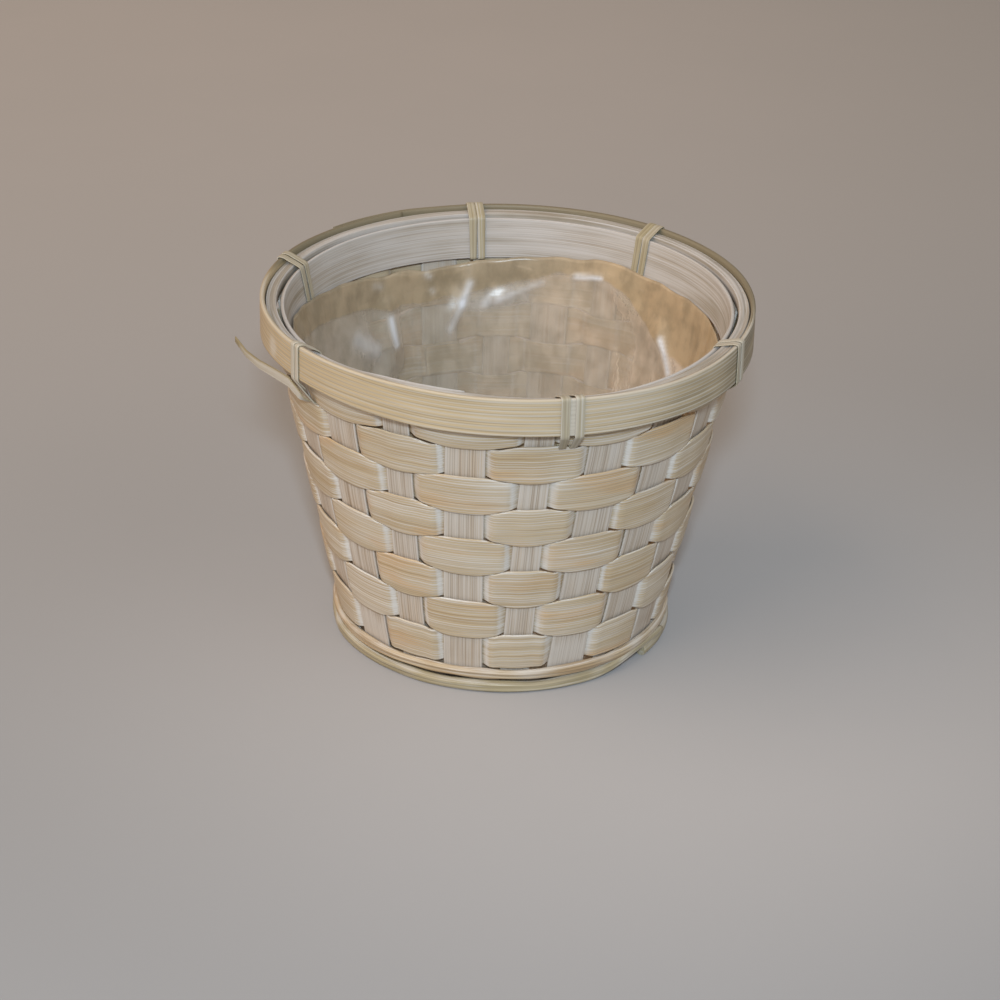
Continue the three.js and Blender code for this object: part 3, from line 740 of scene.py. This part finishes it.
inner_hoop_out = -(weaver_stand + weaver_tuck + weaver_thickness / 2 + splint_clearance)
inner_hoop_top = up_slope(basket_height - inner_hoop_drop)
inner_hoop_bottom = inner_hoop_top - inner_hoop_depth
azimuth, off, deep = lapped_ring(inner_hoop_start, inner_hoop_thickness)
inner_hoop_dip = along_hoop(azimuth, inner_dips)
middle_slope = (inner_hoop_top + inner_hoop_bottom - inner_hoop_dip) / 2
splint(
    "inner_rim_hoop", wall_point(azimuth, middle_slope, inner_hoop_out - off)[::-1],
    up_wall(azimuth)[::-1], (inner_hoop_depth - inner_hoop_dip)[::-1], deep[::-1, None],
    433, plain_look(0.0, 0.45), white_bamboo, "washed_bamboo", "rim_hoop_inner",
    ridge=0.06, ridge_pitch=1.4, corner=0.3, columns=36,
)

azimuth = packing_start + np.arange(0.0, 360.0 - packing_joint + round_step / 2, round_step)
packing_dip = along_hoop(azimuth, inner_dips)
packing_middle = round_point(
    azimuth, packing_radius + packing_thickness / 2, packing_top - (packing_depth + packing_dip) / 2
)
splint(
    "rim_packing_strip", packing_middle, round_point(azimuth, -1.0, 0.0),
    np.full(azimuth.size, packing_thickness), (packing_depth - packing_dip)[:, None],
    467, plain_look(0.0, 0.3, 0.0), white_bamboo, "washed_bamboo", "rim_packing",
    ridge=0.28, ridge_pitch=0.75, columns=26,
)

# Foot: two round strands of split bamboo lie round the bends of the uprights. The upper one is
# held under the first weaver. The lower one stands on the table, and its olive skin shows. Its
# thinned tail climbs over its own start at the right.
low_strand_width, low_strand_depth = 3.2, 3.0
low_strand_end, low_strand_tail_angle = 72.0, 14.0
tail_width, tail_depth, tail_inset, tail_spring = 2.2, 1.6, 0.6, 1.2
high_strand_thickness, high_strand_depth = 2.2, 3.0
high_strand_height, high_strand_start = 7.5, 185.0
# What is added to the strands' depths and radii, and how far these waver.
low_strand_swell, low_strand_waver = 0.7, 0.4
low_strand_stand, low_strand_wander = 0.25, 0.25
high_strand_swell, high_strand_waver = 1.1, 0.8
high_strand_drop, high_strand_wander = 0.7, 0.4
tail_start, tail_climbed, foot_wave_radius = 360.0 - 2 * low_strand_tail_angle, 357.5, 58.0

angle = np.arange(0.0, 360.0 + low_strand_tail_angle, round_step)
climb = smooth_step(angle, tail_start, tail_climbed)
round_strand = np.radians(angle) * foot_wave_radius
strand_width = low_strand_width + (tail_width - low_strand_width) * climb
strand_depth = low_strand_depth + (tail_depth - low_strand_depth) * climb + low_strand_swell
strand_depth += low_strand_waver * random_wave(round_strand, 11.0, 505) * (1 - climb)
wall_face = wall_radius(up_slope(low_strand_depth), cad_upright_thickness / 2)
strand_inside = wall_face + edge_rise(wall_face, upright_width) + splint_clearance
spring = smooth_step(angle, 360.0, 360.0 + low_strand_tail_angle) * tail_spring
strand_radius = strand_inside + climb * tail_inset + spring + strand_width / 2
strand_radius += low_strand_stand + low_strand_wander * random_wave(round_strand, 14.0, 507)
strand_height = climb * (low_strand_depth + splint_clearance) + strand_depth / 2
azimuth = low_strand_end - low_strand_tail_angle + angle
skin_bamboo = bamboo(
    "olive_skin_bamboo", dark=(0.27, 0.22, 0.125), middle=(0.35, 0.295, 0.185),
    pale=(0.40, 0.345, 0.24), paint=(0.47, 0.435, 0.38), paint_level=0.16, line_depth=0.45,
    gloss=0.38,
)
strand_bamboo = bamboo(
    "foot_strand_bamboo", dark=(0.40, 0.28, 0.16), middle=(0.46, 0.355, 0.225),
    pale=(0.48, 0.395, 0.28), paint=(0.53, 0.48, 0.42), paint_level=0.12, line_depth=0.6,
)


def strand_look(paint, tone):
    """The wash lies on a strand in patches, mostly along its edges, and the tone changes."""

    def look(along, across, to_edge):
        patch = 0.35 * np.sin(along / 3.7 + 2.0 * np.sin(along / 9.0)) * np.sin(along / 13.0)
        change = 0.35 * np.sin(along / 7.0 + 2.0 * np.sin(along / 23.0))
        return paint + patch + 0.3 * bell(to_edge, 0.8), tone + change

    return look


splint(
    "lower_foot_strand", round_point(azimuth, strand_radius, strand_height),
    round_point(azimuth, 0.0, 1.0), strand_depth, strand_width[:, None],
    503, strand_look(-0.12, 0.65), skin_bamboo, "bamboo_skin", "foot_strand_lower",
    ridge=0.3, corner=1.2, columns=22,
)

azimuth, off, deep = lapped_ring(high_strand_start, high_strand_thickness)
strand_slope = up_slope(high_strand_height)
strand_face = cad_upright_thickness / 2 + splint_clearance
strand_face += edge_rise(wall_radius(strand_slope), upright_width)
round_strand = np.radians(azimuth - high_strand_start) * foot_wave_radius
strand_slopes = strand_slope - high_strand_drop
strand_slopes = strand_slopes + high_strand_wander * random_wave(round_strand, 17.0, 521)
strand_depth = high_strand_depth + high_strand_swell
strand_depth = strand_depth + high_strand_waver * random_wave(round_strand, 9.0, 523)
splint(
    "upper_foot_strand", wall_point(azimuth, strand_slopes, strand_face + off), up_wall(azimuth),
    strand_depth, deep[:, None], 527, strand_look(0.0, 0.5), strand_bamboo, "hoop_bamboo",
    "foot_strand_upper", ridge=0.3, corner=1.0, columns=22,
)

# Ties: at six places a narrow strip of bamboo skin goes twice round both hoops, through the gap
# under the top weaver. The sixth was never trimmed, and its end springs off to the left.
tie_thickness, tie_stand = 0.36, 0.36
tie_waist_share, tie_pinch_share = 0.8, 0.76
# Each tie: its azimuth over the rim and at the wall, its width, how far each turn lies aside, and
# how much of the wash it has.
ties = [
    (front_tie_azimuth, 15.2, 3.0, 2.35, 0.27),
    (66.5, 70.0, 2.4, 1.6, 0.3),
    (141.0, 143.0, 2.9, 1.5, 0.0),
    (189.0, 189.0, 2.9, 1.5, 0.0),
    (250.0, 251.5, 2.6, 1.7, 0.2),
    (305.2, 305.6, 2.1, 1.2, 0.35),
]
tie_slope = weaver_middles[-1] - (weaver_shares[-1] + gap_under_top_weaver) / 2
tie_outside = weaver_stand + weaver_bulge + weaver_thickness / 2 + tie_stand
tie_inside = weaver_stand + weaver_tuck + weaver_thickness / 2 + tie_stand
outer_hoop_face = outer_hoop_radius + outer_hoop_thickness
inner_hoop_face = inner_hoop_out - inner_hoop_thickness

# The loose end: how far it stands off, where its tip and the next points lie, and its widths.
loose_stand = 3.63
loose_distances = np.array([43.0, 36.0, 28.0, 18.0, 9.0])
loose_drops = np.array([-0.8, 1.9, 2.6, 2.1, 1.8])
loose_widths = [2.2, 2.7, 3.2, 3.6, 3.7, 3.3, 2.6]


def tie_path(top, bottom, width, spread, loose):
    """Points, width directions and widths along a tie. A trimmed tie has both of its ends tucked
    away. The loose one has a long end, which stands on its edge until it twists into the wall."""
    waist, pinch = tie_waist_share * width, tie_pinch_share * spread
    at_rim, at_wall = along_rim(top), along_rim(bottom)
    inside = inner_hoop_face - tie_stand
    inside -= edge_rise(wall_radius(inner_hoop_bottom, inner_hoop_face), 2 * spread + width)
    under = inner_hoop_bottom - tie_stand
    over_inner = wall_height(inner_hoop_top, inside) + tie_stand - along_hoop(top, inner_dips)
    face = outer_hoop_face + tie_stand
    above = basket_height + tie_stand - along_hoop(top, upper_edge_dips)
    below = outer_hoop_bottom - tie_stand + along_hoop(top, lower_edge_rises)

    def turn(across, outside_across, crossing, inside_across):
        """One turn, from outside the wall up over the rim and down to its inside."""
        points = [
            wall_point(bottom, tie_slope, tie_outside, outside_across),
            round_point(top, face, below, across),
            round_point(top, face, above, across),
            round_point(top, outer_hoop_radius, above, across),
            round_point(top, wall_radius(inner_hoop_top, inside), over_inner, across),
            wall_point(top, under, inside, across),
            wall_point(bottom, under, -tie_inside, crossing),
            wall_point(bottom, tie_slope, -tie_inside, inside_across),
        ]
        ways = [at_wall, *[at_rim] * 5, *[at_wall] * 2]
        return points, ways, [waist, *[width] * 4, *[waist] * 3]

    if not loose:
        first = turn(-spread, -pinch, 0.0, pinch)
        second = turn(spread, pinch, spread, pinch)
        points, ways, widths = [one + other[:-1] for one, other in zip(first, second)]
        start = wall_point(bottom, tie_slope, -cad_upright_thickness, -pinch)
        return [start, *points], [-way for way in [at_wall, *ways]], [waist, *widths]

    first = turn(-spread, pinch, -pinch, -pinch)
    second = turn(spread, pinch, pinch, pinch)
    points, ways, widths = [one[::-1] + other[::-1][:-1] for one, other in zip(first, second)]
    loose_radius = wall_radius(tie_slope, tie_outside) + loose_stand
    free = round_point(bottom, loose_radius, outer_hoop_bottom - loose_drops, -loose_distances)
    beside = wall_point(bottom, tie_slope + 3.0, tie_outside + 2.6, -spread - 2.0)
    twisting = wall_point(bottom, tie_slope + 1.0, tie_outside + 1.4, -pinch - 1.0)
    inward = wall_point(bottom, tie_slope, tie_outside - tie_stand, -pinch)
    tucked = round_point(top, outer_hoop_radius - 1.0, outer_hoop_bottom - tie_stand, spread)
    upright = np.array([0.0, 0.0, 1.0])
    twisted = at_wall + round_point(bottom, 1.0, 1.4)
    return (
        [*free, beside, twisting, inward, *points, tucked],
        [*[upright] * (len(free) + 1), twisted, at_wall, *ways, at_rim],
        [*loose_widths, waist, *widths, width],
    )


def tie_look(paint_left, loose):
    """A tie has an even wash. The loose end is olive along its upper edge, whitish on its face,
    and dark at its tip."""

    def look(along, across, to_edge):
        free = loose * (1 - smooth_step(along, 42.0, 50.0))
        tip = free * bell(along, 3.0)
        upper = free * bell(to_edge, 0.6) * (across > 0)
        paint = paint_left + free * 0.3 * smooth_step(along, 4.0, 16.0)
        return paint - 0.9 * tip - 0.9 * upper, 0.8 - 1.6 * tip - upper

    return look


for number, (top, bottom, width, spread, paint_left) in enumerate(ties, start=1):
    loose = number == len(ties)
    points, ways, widths = tie_path(top, bottom, width, spread, loose)
    columns = [np.array(ways), np.array(widths)[:, None]]
    line, carried = drawn_line(points, columns, 0.5, 0.5)
    splint(
        f"rim_tie_strip_{number}", line, carried[:, :3], carried[:, 3], tie_thickness,
        601 + 13 * number, tie_look(paint_left, loose), skin_bamboo, "bamboo_skin",
        f"rim_tie_{number}", crown=0.06, ridge=0.03, ridge_pitch=0.6, corner=0.12, columns=9,
    )

# Liner: a bag of thin clear film, a little yellow, pushed into the basket and left in soft folds. It
# stands on the plait, and its wavy upper edge hangs at the foot of the inner hoop, where the film is
# doubled over and looks darkest. Along some folds pale streaks are painted in as painted highlights,
# and the film is painted lighter and warmer towards the right as painted light.
film_thickness = 0.12
film_floor = high_level + cad_upright_thickness / 2 + splint_clearance
film_corner_radius = 7.0
film_out = -(weaver_stand + lap_step + weaver_thickness / 2 + splint_clearance)
film_out_at_hoop, film_hoop_from, film_hoop_to = -4.0, 93.0, 101.0
film_row_crowding, film_folds_at_hoop = 0.85, 0.4
film_columns, film_wall_rows, film_corner_rows, film_floor_rows = 480, 66, 8, 8
film_pleats, film_pleat_depth, film_wrinkles, film_wrinkle_depth = 12, 0.45, 31, 0.2
# The height of the upper edge by azimuth, in millimetres.
film_edge_azimuths = [0, 50, 91, 107, 119, 128, 140, 155, 172, 187, 205, 219, 236, 266, 310, 360]
film_edge_heights = [
    101, 102, 104, 105, 105.5, 105, 105.5, 107, 104.5, 103, 101.5, 102, 105, 108, 104, 101,
]
# How far the doubled edge reaches down, in millimetres, by azimuth.
doubled_azimuths = [0, 60, 90, 112, 124, 134, 142, 149, 156, 165, 176, 188, 215, 235, 270, 360]
doubled_depths = [8, 9, 18, 23, 21, 16, 10, 7, 5.5, 5.5, 9, 11, 12.5, 11, 10, 8]
# Each fold: azimuth and height of its two ends, how far it stands inwards, and its half width.
film_folds = [
    (218, 91, 218, 72, 1.3, 3.4),
    (191, 98, 199, 76, 1.2, 3.6),
    (170, 96, 183, 89, 0.8, 3.2),
    (183, 89, 197, 85, 0.5, 3.4),
    (161, 99, 150, 101, 1, 2.4),
    (146, 98, 130, 86, 1.2, 5),
    (127, 89, 118, 72, 1.2, 4.2),
    (236, 100, 229, 78, 1.3, 5),
    (262, 104, 255, 70, 1.3, 5.2),
    (96, 98, 90, 66, 1.4, 5),
    (60, 96, 66, 60, 1.4, 5.4),
    (24, 96, 18, 62, 1.4, 5.2),
    (340, 98, 346, 64, 1.4, 5.2),
    (300, 98, 292, 66, 1.4, 5),
]
# Each painted highlight along a fold: azimuth and height of its two ends, how bright it is, and its
# half width.
film_painted_highlights = [
    (218, 86.5, 217, 77.5, 0.95, 1.5),
    (231, 83, 225, 78, 0.5, 3.6),
    (191.5, 95, 194, 88, 0.7, 1.6),
    (194, 88, 198, 79, 0.5, 1.5),
    (170, 95.5, 183, 89, 0.45, 1.1),
    (175, 90, 190, 87.5, 0.28, 2.6),
    (186, 89, 187, 87.5, 0.35, 1.6),
    (160, 99.5, 152, 100.5, 0.95, 0.9),
    (126, 87, 120, 77.5, 0.95, 1.5),
    (204.5, 99.5, 203.5, 98.5, 0.45, 1.2),
    (203, 93.5, 202.5, 92.5, 0.35, 1),
    (222, 99.5, 220, 98.5, 0.3, 1.3),
    (259, 80, 255, 66, 0.5, 1.6),
    (92, 84, 90, 70, 0.5, 1.6),
    (62, 88, 65, 74, 0.5, 1.5),
    (21, 90, 19, 76, 0.5, 1.6),
    (342, 88, 344, 72, 0.5, 1.5),
    (298, 90, 294, 74, 0.5, 1.6),
]


def near_lines(azimuth, height, lines):
    """The sum of ridges round straight pieces of line on the wall laid flat. Each ridge has a
    bell-shaped section."""
    radius = wall_radius(height)
    total = 0.0
    for start_azimuth, start_height, end_azimuth, end_height, rise, spread in lines:
        across = np.radians(from_front(azimuth - start_azimuth)) * radius
        up = height - start_height
        line_across = np.radians(end_azimuth - start_azimuth) * wall_radius(start_height)
        line_up = end_height - start_height
        share = (across * line_across + up * line_up) / (line_across**2 + line_up**2)
        share = np.clip(share, 0, 1)
        apart = np.hypot(across - share * line_across, up - share * line_up)
        total = total + rise * bell(apart, spread)
    return total


def film_skin(inset):
    """One skin of the bag: rings of points from the middle of the floor out, round the corner and
    up the wall, with how far each point lies inside the doubled edge, and how much painted highlight
    it has."""
    azimuth = np.arange(film_columns) * 360.0 / film_columns
    turn = np.radians(azimuth)
    low = film_floor + film_corner_radius
    inner_floor = wall_radius(up_slope(low), film_out - inset) - film_corner_radius
    share = np.linspace(0.0, 1.0, film_floor_rows + 1)[1:, None]
    pucker = 0.6 + 0.3 * np.sin(7 * turn + 3 * share) + 0.25 * np.sin(12 * turn - 5 * share)
    floor_radius = inner_floor * share + 0 * turn
    floor_rise = pucker * share * (1 - share) * 4
    bend = np.linspace(0.0, np.pi / 2 - wall_angle, film_corner_rows + 1)[1:-1, None] + 0 * turn
    corner_radius = inner_floor + film_corner_radius * np.sin(bend)
    corner_rise = film_corner_radius * (1 - np.cos(bend))

    edge = np.interp(azimuth, film_edge_azimuths, film_edge_heights)
    edge = edge + film_wrinkle_depth * np.sin(film_wrinkles * turn)
    edge = edge + 0.8 * np.sin(9 * turn + 2 * np.sin(5 * turn)) * np.sin(4 * turn)
    share = np.linspace(0.0, 1.0, film_wall_rows)[:, None] ** film_row_crowding
    height = low + (edge - low) * share
    pleats = film_pleat_depth * (1 - np.cos(film_pleats * turn + 2 * share))
    wrinkles = film_wrinkle_depth * (1 - np.sin(film_wrinkles * turn - 4 * share))
    folds = near_lines(azimuth, height, film_folds)
    inward = (folds + pleats + wrinkles) * smooth_step(share, 0.0, 0.3)
    at_hoop = smooth_step(height, film_hoop_from, film_hoop_to)
    inward = inward * (1 - (1 - film_folds_at_hoop) * at_hoop)
    out = film_out + (film_out_at_hoop - film_out) * at_hoop - inward - inset
    wall = wall_radius(up_slope(height), out)
    radius = np.concatenate([floor_radius, corner_radius, wall])
    heights = film_floor + inset + np.concatenate([floor_rise, corner_rise])
    heights = np.concatenate([heights, height])
    doubled = np.interp(azimuth, doubled_azimuths, doubled_depths) - (edge - heights)
    return round_point(azimuth, radius, heights), doubled, near_lines(azimuth, heights, film_painted_highlights)


# The rings go up the outer skin and down the inner one, so the faces of the tube are turned over.
outer_skin, doubled, painted_highlight_amount = film_skin(0.0)
film_rings = np.concatenate([outer_skin, film_skin(film_thickness)[0][::-1]])
floor_middles = [[0.0, 0.0, film_floor], [0.0, 0.0, film_floor + film_thickness]]
film_points = np.concatenate([film_rings.reshape(-1, 3), floor_middles])
film_quads, film_fans = [
    np.roll(faces[:, ::-1], 1, axis=1) for faces in tube_faces(len(film_rings), film_columns)
]
# The film's look: how many centimetres inside the doubled edge, how much painted highlight, and how
# far to the right, which sets the painted warm light.
film_look = np.zeros(film_points.shape)
film_look[:-2, 0] = np.concatenate([doubled, doubled[::-1]]).ravel() / 10.0
film_look[:-2, 1] = np.concatenate([painted_highlight_amount, painted_highlight_amount[::-1]]).ravel()
film_look[:, 2] = film_points[:, 0] / np.maximum(np.hypot(film_points[:, 0], film_points[:, 1]), 1.0)

film, tree, film_shine = new_material("clear_film")
grain = of_piece(tree, "grain")
inside_edge, painted_highlight_share, rightness = parts_of(of_piece(tree, "look"))
creases = grain_noise(grain, 45.0, 110.0, 4.0, 0.6)
crinkles = grain_noise(grain, 210.0, 260.0, 3.0, 0.5)
sockets = {"Strength": 0.35, "Distance": 0.001, "Height": scaled(crinkles, 0.35, creases)}
film_bump = shader_node(tree, "ShaderNodeBump", sockets).outputs["Normal"]
two_thick = between(scaled(creases, 0.35, inside_edge), 0.115, 0.275)
painted_highlight_mask = scaled(painted_highlight_share, between(creases, 0.2, 0.6, 0.6, 1.0))
film_tint = mixed(two_thick, (0.98, 0.97, 0.945), (0.92, 0.865, 0.76))
see_through = shader_node(tree, "ShaderNodeBsdfTransparent", {"Color": film_tint})
# Towards the right the doubled band turns from olive to brown. The clear film is painted lighter and
# warmer there, as painted light from the warm lamp on the left.
brownness = between(rightness, 0.14, 0.62)
olive_or_brown = mixed(brownness, (0.58, 0.47, 0.325), (0.66, 0.50, 0.315))
warmth = between(rightness, -0.55, 0.45)
clear_body_with_painted_light = mixed(warmth, (0.68, 0.61, 0.52), (0.89, 0.75, 0.61))
film_body = mixed(two_thick, clear_body_with_painted_light, olive_or_brown)
dull = scaled(crinkles, 0.4, scaled(creases, 0.6))
mottled = between(dull, 0.36, 0.62, 0.42, 0.0)
film_body = mixed(mottled, film_body, (0.22, 0.175, 0.11))
# Painted highlight: pale bluish white streaks along the folds, where they would catch the lamp.
film_body = mixed(painted_highlight_mask, film_body, (0.80, 0.81, 0.84))
sockets = {
    "Base Color": film_body, "Normal": film_bump, "Roughness": 0.3, "Specular IOR Level": 0.6,
    "Coat Weight": 0.2, "Coat Roughness": 0.24, "Coat IOR": 1.6,
}
fill_sockets(film_shine, sockets)
edge_on = shader_node(tree, "ShaderNodeFresnel", {"IOR": 1.5, "Normal": film_bump}).outputs[0]
shine_share = scaled(two_thick, 0.26, scaled(edge_on, 0.35, 0.24))
shine_share = scaled(painted_highlight_mask, 0.5, shine_share)
sockets = {0: shine_share, 1: see_through.outputs[0], 2: film_shine.outputs[0]}
film_mix = shader_node(tree, "ShaderNodeMixShader", sockets)
fill_sockets(tree.nodes["Material Output"], {"Surface": film_mix.outputs[0]})

new_piece(
    "film_bag", film_points, film_quads, film_fans, film_points[:, [2, 0, 1]], film_look,
    film, "liner_film", "film_liner", flat_ends=False,
)

# Floor: plain pale board under the basket, a little uneven in tone. Light is painted into its
# colour: it is lighter and browner behind and lighter round the basket, as painted light, and darker
# to the right, as painted shade. Its sizes are in metres.
floor_half = 4.0
floor_sides = [(-1, -1), (1, -1), (1, 1), (-1, 1)]
floor_corners = [(x * floor_half, y * floor_half, 0.0) for x, y in floor_sides]
floor_mesh = bpy.data.meshes.new("floor")
floor_mesh.from_pydata(floor_corners, [], [(0, 1, 2, 3)])
floor = placed("floor", floor_mesh)

board, tree, board_shader = new_material("pale_board")
place = shader_node(tree, "ShaderNodeTexCoord", {}).outputs["Object"]
across_floor, into_floor = parts_of(place)[:2]
# Lighter and browner behind, darker in front: painted light that evens out the near lamp's falloff.
behind = between(into_floor, -0.3, 0.7)
tone = mixed(behind, (0.277, 0.274, 0.277), (0.415, 0.380, 0.361))
# Darker to the right: painted shade.
painted_shade_to_right = between(across_floor, -0.05, 0.45)
tone = mixed(painted_shade_to_right, tone, (0.765, 0.795, 0.815), "MULTIPLY")
# A pool of painted light round the basket, a little to the right.
sockets = {0: place, 1: (0.06, -0.02, 0.0)}
reach = shader_node(tree, "ShaderNodeVectorMath", sockets, operation="DISTANCE").outputs["Value"]
painted_light_pool = between(reach, 0.06, 0.27, 0.85, 0.0)
tone = mixed(painted_light_pool, tone, (0.397, 0.384, 0.384))
smudged = between(noise(place, 7.0, 4.0, 0.6), 0.3, 0.7, 0.0, 0.08)
tone = mixed(smudged, tone, (0.30, 0.29, 0.28))
fill_sockets(board_shader, {"Base Color": tone, "Roughness": 0.9})
floor_mesh.materials.append(board)

# Light: a small cool lamp just over the camera, broad ones on both sides, and an even glow.
def soft_lamp(name, azimuth, height_angle, distance, size, level, colour):
    """A square lamp that faces the basket. Its level is the share of a white surface's full
    brightness that it gives to one that faces it."""
    data = bpy.data.lights.new(name, "AREA")
    data.size = size
    data.energy = level * (np.pi * distance) ** 2
    data.color = colour
    rise = np.radians(height_angle)
    back = round_point(azimuth, np.cos(rise), np.sin(rise))
    place = np.array([0.0, 0.0, aim_height]) + distance * back
    right = along_rim(azimuth)
    placed(name, data, [right, np.cross(back, right), back, place])


soft_lamp("lamp_front", 0.3, 32.0, 1.25, 0.08, 0.74, (0.68, 0.845, 1.0))
soft_lamp("lamp_left", -66.0, 38.0, 2.4, 2.8, 0.80, (1.0, 0.765, 0.57))
soft_lamp("lamp_right", 66.0, 40.0, 2.4, 2.2, 0.15, (1.0, 0.96, 0.92))
world = bpy.data.worlds.new("studio")
world.use_nodes = True
glow = world.node_tree.nodes["Background"]
fill_sockets(glow, {"Color": (1.0, 0.90, 0.79, 1.0), "Strength": 0.41})
bpy.context.scene.world = world
bpy.context.scene.view_settings.view_transform = "Standard"
